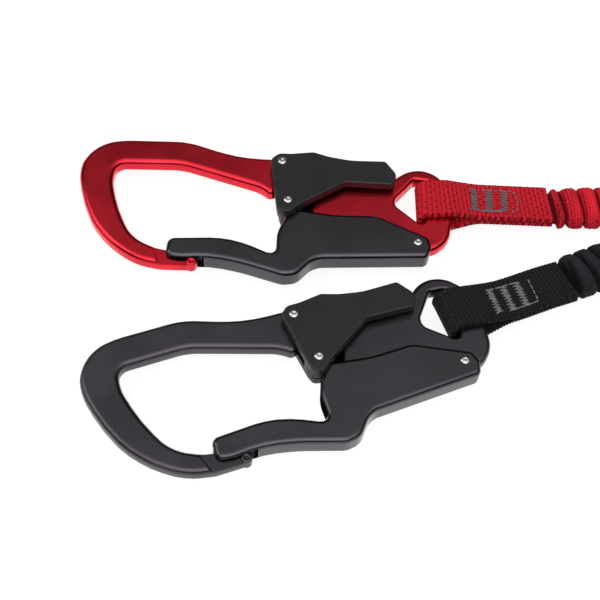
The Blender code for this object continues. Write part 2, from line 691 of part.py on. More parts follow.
def make_absorber(group, cutters, finishes):
    """The pouch, its flap, the folded tear webbing inside and the tie-in loop."""
    anchor = add_empty("absorber", group, (*POUCH_PLACE, 0))
    half_x, half_y = POUCH_LENGTH / 2, POUCH_WIDTH / 2

    def block(name, length, width, height, corner, target, material, centre, rim=0.0):
        """A plate with round corners at a place in the pouch."""
        corners = [
            (sx * length / 2, sy * width / 2, corner)
            for sx, sy in ((1, 1), (-1, 1), (-1, -1), (1, -1))]
        item = plate(name, [rounded(corners)], height, target, material, anchor, rim)
        item.location = centre
        return item

    middle = POUCH_HEIGHT / 2
    shell = block(
        "pouch_shell", POUCH_LENGTH, POUCH_WIDTH, POUCH_HEIGHT, POUCH_CORNER,
        group, finishes["pouch"], (0, 0, middle), POUCH_EDGE)
    cut(shell, block(
        "pouch_cavity", POUCH_LENGTH - 2 * POUCH_WALL, POUCH_WIDTH - 2 * POUCH_WALL,
        POUCH_HEIGHT - 2 * POUCH_WALL, POUCH_CORNER - POUCH_WALL, cutters, None, (0, 0, middle)))
    cut(shell, block(
        "arm_mouth", POUCH_CORNER, ARM_SPACING + ARM_WIDTH * ARM_WAIST_SHARE + 2 * FIT_GAP,
        ARM_HEIGHT * ARM_WAIST_SHARE + 2 * FIT_GAP, 0, cutters, None, (half_x, 0, middle)))
    cut(shell, block(
        "loop_mouth", POUCH_CORNER, LOOP_WIDTH + 4 * FIT_GAP, LOOP_MOUTH_HEIGHT, 0,
        cutters, None, (-half_x, 0, middle)))
    block(
        "pouch_flap", FLAP_LENGTH, FLAP_WIDTH, FLAP_PLATE, POUCH_CORNER,
        group, finishes["pouch"], (0, 0, POUCH_HEIGHT + FIT_GAP + FLAP_PLATE / 2))

    layer = (POUCH_HEIGHT - 2 * POUCH_WALL - 2 * FIT_GAP - TEAR_PLY) / (TEAR_LAYERS - 1)
    lowest = POUCH_WALL + FIT_GAP + TEAR_PLY / 2
    tear_length = POUCH_LENGTH - 2 * TEAR_MARGIN
    left = -tear_length / 2
    points = []
    for k in range(TEAR_LAYERS):
        ends = (left, left + tear_length)
        if k % 2:
            ends = ends[::-1]
        z = lowest + k * layer
        points += [(ends[0], z), (ends[1], z)]
        if k < TEAR_LAYERS - 1:
            bulge = layer / 2 if ends[1] > ends[0] else -layer / 2
            points.append((ends[1] + bulge, z + layer / 2))
    ribbon("tear_webbing", points, TEAR_WIDTH, TEAR_PLY, group, finishes["tear"], anchor)

    mouth = -half_x + POUCH_CORNER
    tip = -half_x - LOOP_REACH + LOOP_BULB
    bulb_height = LOOP_BULB + LOOP_PLY
    legs = [(mouth, middle + LOOP_LEG_SPACE / 2), (-half_x - POUCH_CORNER, middle + LOOP_LEG_SPACE / 2)]
    opening = math.radians(38)
    steps = 14
    for k in range(steps + 1):
        angle = opening + (math.tau - 2 * opening) * k / steps
        legs.append((tip + LOOP_BULB * math.cos(angle), bulb_height + LOOP_BULB * math.sin(angle)))
    legs += [(-half_x - POUCH_CORNER, middle - LOOP_LEG_SPACE / 2), (mouth, middle - LOOP_LEG_SPACE / 2)]
    ribbon("tie_in_loop", legs, LOOP_WIDTH, LOOP_PLY, group, finishes["tie_in"], anchor)


def main():
    """Build the whole lanyard."""
    clear_scene()
    group = new_collection("via_ferrata_lanyard")
    cutters = new_collection("cutters")
    finishes = {
        "red_frame": finish("red_anodised", (0.42, 0.012, 0.03), 0.32, 0.85),
        "black_frame": finish("black_anodised", (0.045, 0.04, 0.05), 0.34, 0.7),
        "gate": finish("gate_black", (0.035, 0.032, 0.042), 0.36, 0.4),
        "lever": finish("lever_black", (0.028, 0.027, 0.03), 0.62, 0.1),
        "rivet": finish("rivet_steel", (0.75, 0.74, 0.7), 0.22, 1.0),
        "spring": finish("spring_steel", (0.55, 0.55, 0.56), 0.3, 1.0),
        "red_webbing": finish("red_webbing", (0.6, 0.02, 0.04), 0.85, 0.0),
        "black_webbing": finish("black_webbing", (0.022, 0.02, 0.024), 0.88, 0.0),
        "pouch": finish("pouch_fabric", (0.03, 0.03, 0.034), 0.85, 0.0),
        "tear": finish("tear_webbing_yarn", (0.55, 0.54, 0.5), 0.85, 0.0),
        "tie_in": finish("tie_in_webbing", (0.03, 0.03, 0.034), 0.85, 0.0),
    }
    make_connector("red", RED_PLACE, RED_TURN, group, cutters, finishes)
    make_connector("black", BLACK_PLACE, BLACK_TURN, group, cutters, finishes)
    red_start = arm_start(RED_PLACE, RED_TURN)
    black_start = arm_start(BLACK_PLACE, BLACK_TURN)
    make_arm("red_arm", red_start + red_arm_route, group, cutters, finishes["red_webbing"])
    make_arm("black_arm", black_start + black_arm_route, group, cutters, finishes["black_webbing"])
    make_absorber(group, cutters, finishes)


main()
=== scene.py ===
import math

import bmesh
import bpy
from mathutils import Matrix, Vector, noise


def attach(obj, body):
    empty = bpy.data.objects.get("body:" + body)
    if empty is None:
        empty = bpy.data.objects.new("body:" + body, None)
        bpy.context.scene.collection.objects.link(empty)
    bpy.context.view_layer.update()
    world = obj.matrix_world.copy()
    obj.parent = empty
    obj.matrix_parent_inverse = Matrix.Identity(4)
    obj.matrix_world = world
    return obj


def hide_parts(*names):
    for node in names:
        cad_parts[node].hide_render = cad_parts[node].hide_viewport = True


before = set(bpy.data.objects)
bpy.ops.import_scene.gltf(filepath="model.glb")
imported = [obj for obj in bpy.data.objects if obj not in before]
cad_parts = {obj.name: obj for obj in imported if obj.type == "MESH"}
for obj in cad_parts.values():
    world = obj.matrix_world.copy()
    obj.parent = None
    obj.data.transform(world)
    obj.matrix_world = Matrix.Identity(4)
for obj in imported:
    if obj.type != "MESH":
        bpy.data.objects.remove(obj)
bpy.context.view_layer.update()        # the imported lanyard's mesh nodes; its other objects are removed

bl_info = {
    "name": "Climbing lanyard",
    "version": (1, 0, 0),
    "blender": (4, 5, 0),
    "location": "View3D > Sidebar > Lanyard",
    "description": "Dresses the packed lanyard with its metal, webbing and cloth pieces",
    "category": "Object",
}

MM = 0.001
COLLECTION = "lanyard_pieces"

# Drawing field of a connector, 150 by 75 steps over its frame
STEP_X = 140 * MM / 150
STEP_Y = 70 * MM / 75
PLATE_HEIGHT = 8.0 * MM

CONNECTORS = {
    "red": {"place": (-220.0 * MM, 36.4 * MM, PLATE_HEIGHT), "turn": math.radians(-7.9)},
    "black": {"place": (-189.9 * MM, -57.8 * MM, PLATE_HEIGHT), "turn": math.radians(12.2)},
}

LEVER_PIVOT = (78.9, 60.6)
LATCH_RIVET = (85.4, 41.4)
GATE_PIVOT = (139.05, 35.6)
NOSE_PIN = (54.7, 7.2)
STRAP_FOLD = (134.8, 57.0)
STRAP_TURN = math.radians(15)

# How each sewn loop lies: its roll, its sway aside, its lift off the plate, the skew of its
# seams, and how far the end of either hangs down
STRAP_LIE = {
    "red": {"roll": math.radians(3), "sway": 0.0, "raise": 1.5 * MM, "skew": 0.11},
    "black": {"roll": math.radians(2.5), "sway": -1.5 * MM, "raise": 1.0 * MM, "skew": 0.14},
}
STRAP_SAG = -3.2 * MM

# Bar tacks of each loop: the first one's place, their pitch, and their ends across the loop
TACKS = {
    "red": (22.6 * MM, 5.85 * MM, -5.2 * MM, 5.4 * MM),
    "black": (20.3 * MM, 5.75 * MM, -5.9 * MM, 4.8 * MM),
}

# Gathers of each arm: the seed of their unevenness, how lofty the upper side is, how far they
# lean in mm, and the first ones as places along the arm and half widths in mm
GATHERS = {
    "red": (3.0, 1.15, 0.4, [(0.0, 1.0), (4.7, 2.4), (11.6, 1.1)]),
    "black": (11.0, 1.5, 1.1, [(0.0, 0.4), (6.8, 0.9), (13.4, 0.9)]),
}

# Outlines as corners with fillets: x, y, fillet in steps of the drawing field
FRAME_OUTLINE = [
    (57.3, 5.3, 2.45), (43.6, 2.4, 6), (33.3, 2.3, 40), (17.3, 9.8, 40),
    (6.2, 23.7, 60), (-0.9, 39.6, 60), (-0.9, 48.4, 30), (4.4, 57.0, 30),
    (12.0, 60.6, 30), (35.5, 65.75, 20), (41.0, 65.75, 20), (54.8, 63.7, 60),
    (64.4, 63.7, 60), (76.6, 66.0, 3), (83.5, 63.0, 6), (93.0, 63.2, 12),
    (104.0, 60.7, 15), (119.0, 60.9, 4), (129.0, 72.7, 12), (133.8, 74.6, 8),
    (137.7, 74.6, 8), (141.4, 73.4, 8), (149.4, 66.9, 12), (151.1, 56.0, 30),
    (151.0, 41.2, 10), (146.5, 35.0, 8), (141.6, 33.0, 4), (137.2, 32.4, 3.2),
    (133.0, 34.5, 3), (97.0, 34.5, 2.5), (94.0, 38.0, 2.5), (94.0, 52.8, 3),
    (79.5, 52.8, 3), (79.6, 48.6, 2.4), (76.6, 46.9, 2.4), (72.0, 49.4, 14), (38.5, 53.4, 20),
    (13.2, 47.7, 4.6), (13.1, 39.8, 40), (20.1, 24.8, 60), (29.6, 12.5, 20),
    (40.0, 9.8, 10), (57.0, 10.2, 2.45),
]
EYE_HOLE = [
    (126.9, 57.5, 4), (132.7, 68.6, 1.6), (140.2, 69.0, 2.2), (140.2, 45.0, 2.2),
    (126.9, 53.5, 4),
]
# Lowest and highest corner of a box round the hole
EYE_BOX = (126.0, 44.0), (141.0, 69.4)
# The frame is drawn as two faces that meet on two seams, from the outline to the hole. For each
# of the two lines: the corner before the seam, and the seam's own point
SEAMS = [
    {"outline": ((119.0, 60.9), (123.57, 66.3)), "hole": ((126.9, 57.5), (129.8, 63.05))},
    {"outline": ((151.1, 56.0), (151.06, 50.0)), "hole": ((140.2, 69.0), (140.2, 50.0))},
]
TONGUE_GROOVE = [(37.8, 9.6, 0), (41.6, 2.9, 0), (42.8, 2.9, 0), (39.0, 9.6, 0)]
TONGUE_CUT = [(36.2, 13.0, 0), (43.3, 0.5, 0), (63.0, 0.5, 0), (63.0, 13.0, 0)]
GATE_OUTLINE = [
    (43.4, 14.8, 3.0), (62.7, 19.9, 30), (72.0, 19.9, 35), (85.8, 16.4, 2.6),
    (83.9, 27.6, 12), (86.4, 40.6, 2.2), (105.0, 41.7, 40), (121.0, 45.4, 6),
    (142.8, 39.4, 3), (144.9, 35.0, 3), (144.0, 29.8, 2.6), (101.0, 18.6, 8),
    (96.0, 9.6, 6), (90.8, 7.6, 6), (73.5, 9.5, 60), (61.2, 9.5, 35),
    (49.8, 6.2, 14), (44.3, 6.2, 3.0),
]
GATE_SLOT = [
    (78.0, 18.4, 0), (88.6, 18.4, 0.6), (88.6, 37.0, 0.5), (91.0, 37.0, 0.5),
    (91.0, 24.0, 0.6), (96.5, 24.0, 0.8), (99.5, 21.4, 1), (139.0, 31.9, 4),
    (156.0, 36.0, 0), (156.0, 60.0, 0), (78.0, 60.0, 0),
]
NOSE_SLOT = [(40.0, 0.0, 0), (59.3, 0.0, 0), (59.3, 10.55, 1.5), (40.0, 10.55, 0)]
LEVER_OUTLINE = [
    (74.0, 60.8, 3), (76.6, 64.6, 3.2), (81.5, 65.6, 10), (90.2, 68.7, 2.5),
    (97.0, 67.85, 15), (106.0, 68.0, 20), (119.8, 71.0, 1.8), (125.3, 65.4, 3.4),
    (125.3, 59.4, 2.6), (106.0, 56.0, 4), (90.3, 40.2, 5), (87.0, 35.3, 3.5),
    (82.3, 35.3, 4.2),
]
LEVER_SLOT = [
    (60.0, 20.0, 0), (140.0, 20.0, 0), (140.0, 80.0, 0), (117.0, 80.0, 0),
    (117.0, 68.7, 0), (106.0, 66.4, 10), (97.0, 66.3, 10), (90.3, 67.1, 2),
    (84.5, 65.2, 0), (84.5, 80.0, 0), (60.0, 80.0, 0),
]
BACK_TRIM = [
    (68.0, 62.0, 0), (75.6, 62.0, 0), (82.1, 42.0, 4), (83.8, 39.0, 2),
    (88.6, 39.0, 2), (93.0, 42.4, 0), (96.0, 36.0, 0), (90.0, 28.0, 0), (68.0, 28.0, 0),
]
LATCH_OUTLINE = [
    (82.7, 51.8, 1), (82.5, 45.6, 1), (80.6, 43.6, 0.8), (81.4, 41.0, 2),
    (83.7, 38.4, 2), (88.54, 38.4, 0.5), (90.4, 45.0, 0), (92.0, 51.8, 1),
]
# The springs lie in round recesses, and the gate spring's leg swings in a way beside its recess
LEG_WAY = [(139.05, 35.6, 0), (139.05, 28.0, 0), (126.0, 28.0, 0), (126.0, 37.6, 0)]
RECESS_RADIUS = 3.0 * MM
RECESS_DEPTH = 2.9 * MM
NOSE_BORE = 1.3 * MM
GROOVE_DEPTH = 1.2 * MM

# A rivet's head from its dimple to its edge, as shares of its radius and height
HEAD_PROFILE = [
    (0, 0.62), (0.10, 0.64), (0.18, 0.78), (0.25, 0.96), (0.34, 1.00), (0.50, 0.96),
    (0.68, 0.86), (0.82, 0.68), (0.93, 0.44), (0.99, 0.20), (1, 0.11),
]

# Free routes of the arms past the sewn loops, in metres
RED_ROUTE = [
    (0.0020, 0.0828, 0.0052), (0.0270, 0.0838, 0.0052), (0.0570, 0.0842, 0.0052),
    (0.1070, 0.0840, 0.0052), (0.1620, 0.0838, 0.0052), (0.2120, 0.0837, 0.0052),
    (0.2590, 0.0835, 0.0053), (0.2920, 0.0750, 0.0080), (0.3160, 0.0510, 0.0140),
    (0.3255, 0.0230, 0.0163), (0.3245, -0.0040, 0.0163), (0.3120, -0.0290, 0.0140),
    (0.2870, -0.0450, 0.0085), (0.2580, -0.0510, 0.0080), (0.2400, -0.0520, 0.0135),
    (0.2270, -0.0523, 0.0150), (0.2150, -0.0523, 0.0150), (0.2040, -0.0523, 0.0150),
]
BLACK_ROUTE = [
    (0.0040, 0.0580, 0.0052), (0.0270, 0.0602, 0.0052), (0.0520, 0.0600, 0.0052),
    (0.0820, 0.0590, 0.0052), (0.1420, 0.0585, 0.0052), (0.2020, 0.0583, 0.0052),
    (0.2520, 0.0575, 0.0052), (0.2790, 0.0500, 0.0052), (0.3000, 0.0310, 0.0052),
    (0.3160, 0.0060, 0.0052), (0.3210, -0.0200, 0.0052), (0.3120, -0.0470, 0.0052),
    (0.2910, -0.0670, 0.0052), (0.2620, -0.0745, 0.0070), (0.2400, -0.0745, 0.0132),
    (0.2270, -0.0747, 0.0150), (0.2150, -0.0747, 0.0150), (0.2040, -0.0747, 0.0150),
]
ARM_ROUTES = {"red": RED_ROUTE, "black": BLACK_ROUTE}
POUCH_PLACE = Vector((157.0 * MM, -63.5 * MM, 0))

CAMERA_PLACE = (-0.12819, -0.21454, 0.3515)
CAMERA_PITCH = math.radians(55.22)
CAMERA_ROLL = math.radians(4.86)
CAMERA_LENS = 70.5
LAMP_AIM = Vector((-0.13, 0.03, 0))
LAMPS = {
    "front_box": {"place": (-0.15, -0.75, 0.95), "size": (1.6, 1.0), "power": 5.5},
    "side_box": {"place": (-1.15, 0.10, 0.90), "size": (1.0, 1.0), "power": 5.0},
}
ROOM_LIGHT = 0.62
FLOOR_HALF = 6.0
FLOOR_GLOW = 0.88
FLOOR_GREYS = (0.8, 0.24)


# Sizes and colours

def length_property(name, description, default):
    """A length in metres, shown in the panel."""
    return bpy.props.FloatProperty(
        name=name, description=description, default=default * MM, min=0.0, precision=5,
        subtype="DISTANCE", unit="LENGTH")


def colour_property(name, description, default):
    """A linear colour, shown in the panel."""
    return bpy.props.FloatVectorProperty(
        name=name, description=description, default=default, size=3, min=0.0, max=1.0,
        subtype="COLOR")


class LanyardSizes(bpy.types.PropertyGroup):
    """Lengths that shape the metal and the textile pieces."""
    frame_plate: length_property("Frame plate", "Thickness of the connector's frame", 5.8)
    frame_rim: length_property("Frame rim", "Radius of the frame's rounded edges", 2.0)
    tongue_plate: length_property("Tongue plate", "Thickness of the nose tongue", 3.6)
    gate_proud: length_property("Gate proud", "How far the gate stands over the frame's faces", 1.2)
    gate_rim: length_property("Gate rim", "Radius of the gate's rounded edges", 1.8)
    nose_slot: length_property("Nose slot", "Width of the slot in the gate's tip", 6.0)
    cheek_plate: length_property("Cheek plate", "Thickness of each cheek of the lock lever", 2.9)
    lever_rim: length_property("Lever rim", "Radius of the lever's rounded edges", 0.7)
    fit_gap: length_property("Fit gap", "Clearance between pieces that move past each other", 0.3)
    rivet_shank: length_property("Rivet shank", "Radius of a rivet's shank", 1.1)
    rivet_head: length_property("Rivet head", "Radius of a rivet's head", 1.8)
    rivet_dome: length_property("Rivet dome", "Height of a rivet's domed head", 0.7)
    strap_width: length_property("Strap width", "Width of the sewn webbing loop", 16.4)
    strap_ply: length_property("Strap ply", "Thickness of one layer of webbing", 2.0)
    strap_length: length_property("Strap length", "From the fold at the eye to the sewn end", 52.2)
    arm_width: length_property("Arm width", "Width of the gathered arm over its ruffles", 18.4)
    arm_height: length_property("Arm height", "Height of the gathered arm over its ruffles", 9.2)
    ruffle_pitch: length_property("Ruffle pitch", "From one ruffle of the arm to the next", 6.8)
    thread: length_property("Thread", "Radius of the sewing thread", 0.24)
    pouch_length: length_property("Pouch length", "Length of the absorber pouch", 115.0)
    pouch_width: length_property("Pouch width", "Width of the absorber pouch", 58.0)
    pouch_height: length_property("Pouch height", "Height of the absorber pouch", 30.0)


class LanyardColours(bpy.types.PropertyGroup):
    """Base colours of the finishes."""
    red_metal: colour_property("Red metal", "Anodised red of one connector", (0.78, 0.030, 0.050))
    black_metal: colour_property("Black metal", "Anodised black of the other", (0.073, 0.066, 0.077))
    gate_black: colour_property("Gate black", "Satin black of the gates", (0.058, 0.053, 0.062))
    lever_black: colour_property("Lever black", "Moulded black of the lock levers", (0.0085, 0.0078, 0.0088))
    rivet_metal: colour_property("Rivet metal", "Bright metal of the rivets", (0.66, 0.64, 0.60))
    red_yarn: colour_property("Red yarn", "Yarn of the red webbing", (0.70, 0.012, 0.028))
    black_yarn: colour_property("Black yarn", "Yarn of the black webbing", (0.0155, 0.0145, 0.018))
    thread_grey: colour_property("Thread grey", "Sewing thread of the red loop", (0.150, 0.165, 0.175))
    thread_light: colour_property("Thread light", "Sewing thread of the black loop", (0.215, 0.200, 0.212))
    pouch_cloth: colour_property("Pouch cloth", "Cloth of the absorber pouch", (0.024, 0.024, 0.028))
    tear_yarn: colour_property("Tear yarn", "Yarn of the tear webbing", (0.55, 0.54, 0.50))


# Node materials

class Socket:
    """An output socket; arithmetic on it adds Math nodes."""

    def __init__(self, finish, socket):
        self.finish, self.socket = finish, socket

    def math(self, operation, *values):
        """The Math node of that operation on this socket and the values."""
        return self.finish.node(
            "ShaderNodeMath", {"operation": operation}, dict(enumerate((self, *values))))

    def __add__(self, other):
        return self.math("ADD", other)

    def __sub__(self, other):
        return self.math("SUBTRACT", other)

    def __rsub__(self, other):
        return (self * -1) + other

    def __mul__(self, other):
        return self.math("MULTIPLY", other)

    def __truediv__(self, other):
        return self.math("DIVIDE", other)

    __radd__ = __add__
    __rmul__ = __mul__

    def sine(self):
        """The sine of this value."""
        return self.math("SINE")

    def absolute(self):
        """This value without its sign."""
        return self.math("ABSOLUTE")

    def fraction(self):
        """What is left above the whole number below."""
        return self.math("FRACT")

    def floor(self):
        """The whole number below."""
        return self.math("FLOOR")

    def most(self, other):
        """The greater of this value and another."""
        return self.math("MAXIMUM", other)

    def fold(self):
        """0 at whole numbers, rising to 1 half way between them."""
        return (self.fraction() - 0.5).absolute() * -2.0 + 1.0

    def between(self, low, high, start=0.0, end=1.0):
        """This value's place from low to high, eased, as a value from start to end."""
        return self.finish.node(
            "ShaderNodeMapRange", {"interpolation_type": "SMOOTHSTEP"},
            {"Value": self, "From Min": low, "From Max": high, "To Min": start, "To Max": end})


class Finish:
    """A node material, with one method that adds its nodes."""

    def __init__(self, name, tree=None):
        if tree is None:
            self.material = bpy.data.materials.new(name)
            self.material.use_nodes = True
            tree = self.material.node_tree
            self.shader = tree.nodes["Principled BSDF"]
        self.tree = tree

    def link(self, target, value):
        """Give an input socket a value, or link it to a socket."""
        if isinstance(value, Socket):
            self.tree.links.new(value.socket, target)
        elif target.type == "RGBA" and len(value) == 3:
            target.default_value = (*value, 1.0)
        else:
            target.default_value = value

    def node(self, kind, settings=None, values=None, output=0):
        """An output of a new node with these settings and sockets' values or links."""
        node = self.tree.nodes.new(kind)
        for name, value in (settings or {}).items():
            setattr(node, name, value)
        for name, value in (values or {}).items():
            self.link(node.inputs[name], value)
        return Socket(self, node.outputs[output])

    def place(self):
        """Object coordinates, which are the model's own metres."""
        return self.node("ShaderNodeTexCoord", output="Object")

    def uv(self):
        """The piece's own UV map, in metres along and across."""
        return self.node("ShaderNodeUVMap", {"uv_map": "weave"})

    def outputs(self, kind, names, values=None):
        """Several outputs of one new node."""
        node = self.node(kind, None, values).socket.node
        return [Socket(self, node.outputs[name]) for name in names]

    def parts(self, vector):
        """A vector's three values."""
        return self.outputs("ShaderNodeSeparateXYZ", (0, 1, 2), {0: vector})

    def rays(self):
        """Whether a ray comes from the camera, from gloss or through glass."""
        return self.outputs(
            "ShaderNodeLightPath", ("Is Camera Ray", "Is Glossy Ray", "Is Transmission Ray"))

    def noise(self, vector, scale, detail, roughness=0.5):
        """Noise from 0 to 1 at that scale."""
        return self.node("ShaderNodeTexNoise", None, {
            "Vector": vector, "Scale": scale, "Detail": detail, "Roughness": roughness})

    def stretched(self, vector, scale):
        """The vector times a scale in each direction."""
        return self.node("ShaderNodeVectorMath", {"operation": "MULTIPLY"}, {0: vector, 1: scale})

    def mix(self, share, first, second):
        """A colour between two."""
        return self.node(
            "ShaderNodeMix", {"data_type": "RGBA"}, {0: share, 6: first, 7: second}, output=2)

    def layered(self, tone, colour, *layers):
        """A tone with darker or lighter layers of the colour over it, each a share and a factor."""
        for share, factor in layers:
            tone = self.mix(share, tone, shade(colour, factor))
        return tone

    def toned(self, colour, share, dark, light, *layers):
        """A colour that goes from dark to light by share, with layers over it."""
        tone = self.mix(share, shade(colour, dark), shade(colour, light))
        return self.layered(tone, colour, *layers)

    def surface(self, **sockets):
        """Set the shader's own sockets, by name with underscores for spaces."""
        for name, value in sockets.items():
            self.link(self.shader.inputs[name.replace("_", " ")], value)
        return self.material

    def bump(self, height, distance, strength):
        """A bump of that height in metres."""
        return self.node(
            "ShaderNodeBump", None, {"Height": height, "Distance": distance, "Strength": strength})


def shade(colour, factor):
    """A colour made darker or lighter."""
    return tuple(min(1.0, channel * factor) for channel in colour)


def anodised(name, colour, roughness, speck, coat=0.0):
    """Anodised aluminium: fine tumbled grain, faint cloudiness and a few bare specks."""
    finish = Finish(name)
    place = finish.place()
    cloud = finish.noise(place, 60, 3)
    grain = finish.noise(place, 2600, 2)
    worn = finish.noise(place, 900, 4, 0.7).between(0.70, 0.76)
    tone = finish.toned(colour, cloud.between(0.3, 0.7), 0.86, 1.10)
    return finish.surface(
        Base_Color=finish.mix(worn * 0.35, tone, speck), Metallic=1.0,
        Specular_Tint=(1, 1, 1), Coat_Weight=coat, Coat_Roughness=0.18,
        Roughness=cloud.between(0.3, 0.7, roughness * 0.9, roughness * 1.15) + grain * 0.05,
        Normal=finish.bump(grain, 0.01 * MM, 0.35))


def moulded_plastic(name, colour, roughness, grain_scale, grain_depth):
    """Black moulded plastic with fine grain and softly worn tone."""
    finish = Finish(name)
    place = finish.place()
    cloud = finish.noise(place, 90, 3)
    grain = finish.noise(finish.stretched(place, grain_scale), 1.0, 3, 0.6)
    return finish.surface(
        Base_Color=finish.toned(
            colour, cloud.between(0.3, 0.7), 0.85, 1.2,
            (grain.between(0.52, 0.72) * 0.7, 3.2), (grain.between(0.46, 0.34) * 0.5, 0.4)),
        Metallic=0.0, Roughness=cloud.between(0.3, 0.7, roughness * 0.88, roughness * 1.12),
        Normal=finish.bump(grain, grain_depth, 0.5))


def bright_steel(name, colour, roughness):
    """Polished steel with fine turning lines and small dents."""
    finish = Finish(name)
    scuff = finish.noise(finish.stretched(finish.place(), (700, 700, 4000)), 1.0, 3)
    return finish.surface(
        Base_Color=finish.toned(colour, scuff.between(0.3, 0.8), 0.8, 1.1), Metallic=1.0,
        Roughness=scuff.between(0.2, 0.8, roughness * 0.8, roughness * 1.4),
        Normal=finish.bump(scuff, 0.02 * MM, 0.3))


def woven(name, colour, rib, pick, twill, fleck, dark):
    """Band whose ribs run along it, broken into short picks that lean as they step aside."""
    finish = Finish(name)
    weave = finish.uv()
    along, across, _ = finish.parts(weave)
    wander = finish.noise(weave, 260, 3) - 0.5
    column = across / rib + wander * 0.18
    row = along / pick + column.floor() * twill + wander * 0.3
    body = column.fold().between(0.0, 0.7) * (row.fold().between(0.0, 0.75) * 0.75 + 0.25)
    fibre = finish.noise(finish.stretched(weave, (900, 5200, 1)), 1.0, 2)
    patch = finish.noise(weave, 75, 4)
    flecks = finish.noise(weave, 620, 2).between(0.66, 0.74)
    return finish.surface(
        Base_Color=finish.toned(
            colour, body.between(0.05, 0.8), dark, 1.12, (patch.between(0.35, 0.7) * 0.4, 0.62),
            (flecks * fleck, 0.25), ((fibre - 0.5).between(0.1, 0.4) * 0.3, 1.5)),
        Roughness=fibre.between(0.3, 0.7, 0.78, 0.95), Metallic=0.0,
        Normal=finish.bump(body + fibre * 0.22, 0.22 * MM, 0.9))


def cross_ribbed(name, colour, rib, pick, fleck, dark, edge=0.0, sides=0.0):
    """Band whose ribs run from edge to edge, each of short picks, with dark flecks.

    edge is a flat band's half width, where its looped edges are. sides is the way round a
    gathered tube, which gets painted shade in its gathers and a painted highlight on its
    ruffles' crests, and is curly at both sides.
    """
    finish = Finish(name)
    weave = finish.uv()
    along, across, _ = finish.parts(weave)
    wander = finish.noise(weave, 240, 3) - 0.5
    column = along / rib + wander * 0.22
    ridge = column.fold().between(0.05, 0.75)
    row = across / pick + column.floor() * 0.5 + wander * 0.35
    bead = row.fold().between(0.0, 0.8)
    fibre = finish.noise(finish.stretched(weave, (5200, 1400, 1)), 1.0, 2)
    body = ridge * (0.35 + 0.65 * bead) + 0.25 * bead
    line = across / (pick * 1.3)
    brick = along / (rib * 2.1) + line.floor() * 0.5
    hole = ((brick.fraction() - 0.5).absolute().between(0.10, 0.18, 1.0, 0.0)
            * (line.fraction() - 0.5).absolute().between(0.12, 0.30, 1.0, 0.0)
            * finish.noise(weave, 430, 2).between(0.36, 0.50))
    patch = finish.noise(weave, 75, 4)
    tone = finish.toned(
        colour, body.between(0.0, 0.95), dark, 1.15, (patch.between(0.35, 0.7) * 0.30, 0.66),
        (hole * fleck, 0.16), ((fibre - 0.5).between(0.08, 0.4) * 0.40, 1.9))
    height = body + fibre * 0.25 - hole * 0.6
    if edge:
        rim = across.absolute().between(edge - 0.7 * MM, edge - 0.3 * MM)
        gap = ((along / LOOP_PITCH + wander * 0.3).fraction() - 0.5).absolute().between(0.28, 0.42)
        tone = finish.layered(tone, colour, (rim * gap * 0.85, 0.10))
        height = height - rim * gap * 1.5
    if sides:
        deep = finish.node("ShaderNodeAttribute", {"attribute_name": "gather"}, output="Fac")
        turn = (across / sides * math.tau + math.pi / 2).sine().absolute()
        rough = turn.between(0.62, 0.90)
        curl = finish.noise(weave, 900, 3, 0.65)
        # Painted shade in the gathers and a painted highlight on the ruffles' crests, both read from the
        # gather attribute
        tone = finish.layered(
            tone, colour, (deep.between(0.62, 0.05) * 0.92, 0.07),
            (deep.between(0.80, 1.05) * 0.60, 1.9), (rough * curl.between(0.50, 0.62) * 0.9, 0.12),
            (rough * curl.between(0.44, 0.36) * 0.6, 1.5))
        height = height + rough * curl * 1.6
    return finish.surface(
        Base_Color=tone, Roughness=fibre.between(0.3, 0.7, 0.74, 0.95), Metallic=0.0,
        Specular_IOR_Level=0.18, Normal=finish.bump(height, 0.3 * MM, 0.9))


def sewing_thread(name, colour):
    """Twisted thread with a soft sheen."""
    finish = Finish(name)
    twist = finish.noise(finish.stretched(finish.place(), (3800, 2400, 3800)), 1.0, 2)
    return finish.surface(
        Base_Color=finish.toned(colour, twist.between(0.3, 0.7), 0.5, 1.4),
        Roughness=twist.between(0.2, 0.8, 0.5, 0.75), Metallic=0.0,
        Normal=finish.bump(twist, 0.08 * MM, 0.7))


def pouch_weave(name, colour):
    """Plain-woven pack cloth: a fine grid of yarns with soft creases."""
    finish = Finish(name)
    place = finish.place()
    x, y, z = finish.parts(place)
    yarn = 0.62 * MM
    over = ((x / yarn * math.pi).sine() * ((y + z) / yarn * math.pi).sine()).absolute()
    crease = finish.noise(place, 55, 4, 0.6)
    return finish.surface(
        Base_Color=finish.toned(
            colour, over.between(0.1, 0.9), 0.45, 1.35, (crease.between(0.4, 0.75) * 0.35, 1.9)),
        Metallic=0.0, Roughness=crease.between(0.3, 0.7, 0.72, 0.9),
        Normal=finish.bump(over + crease * 2.0, 0.16 * MM, 0.6))


MATERIALS = {}


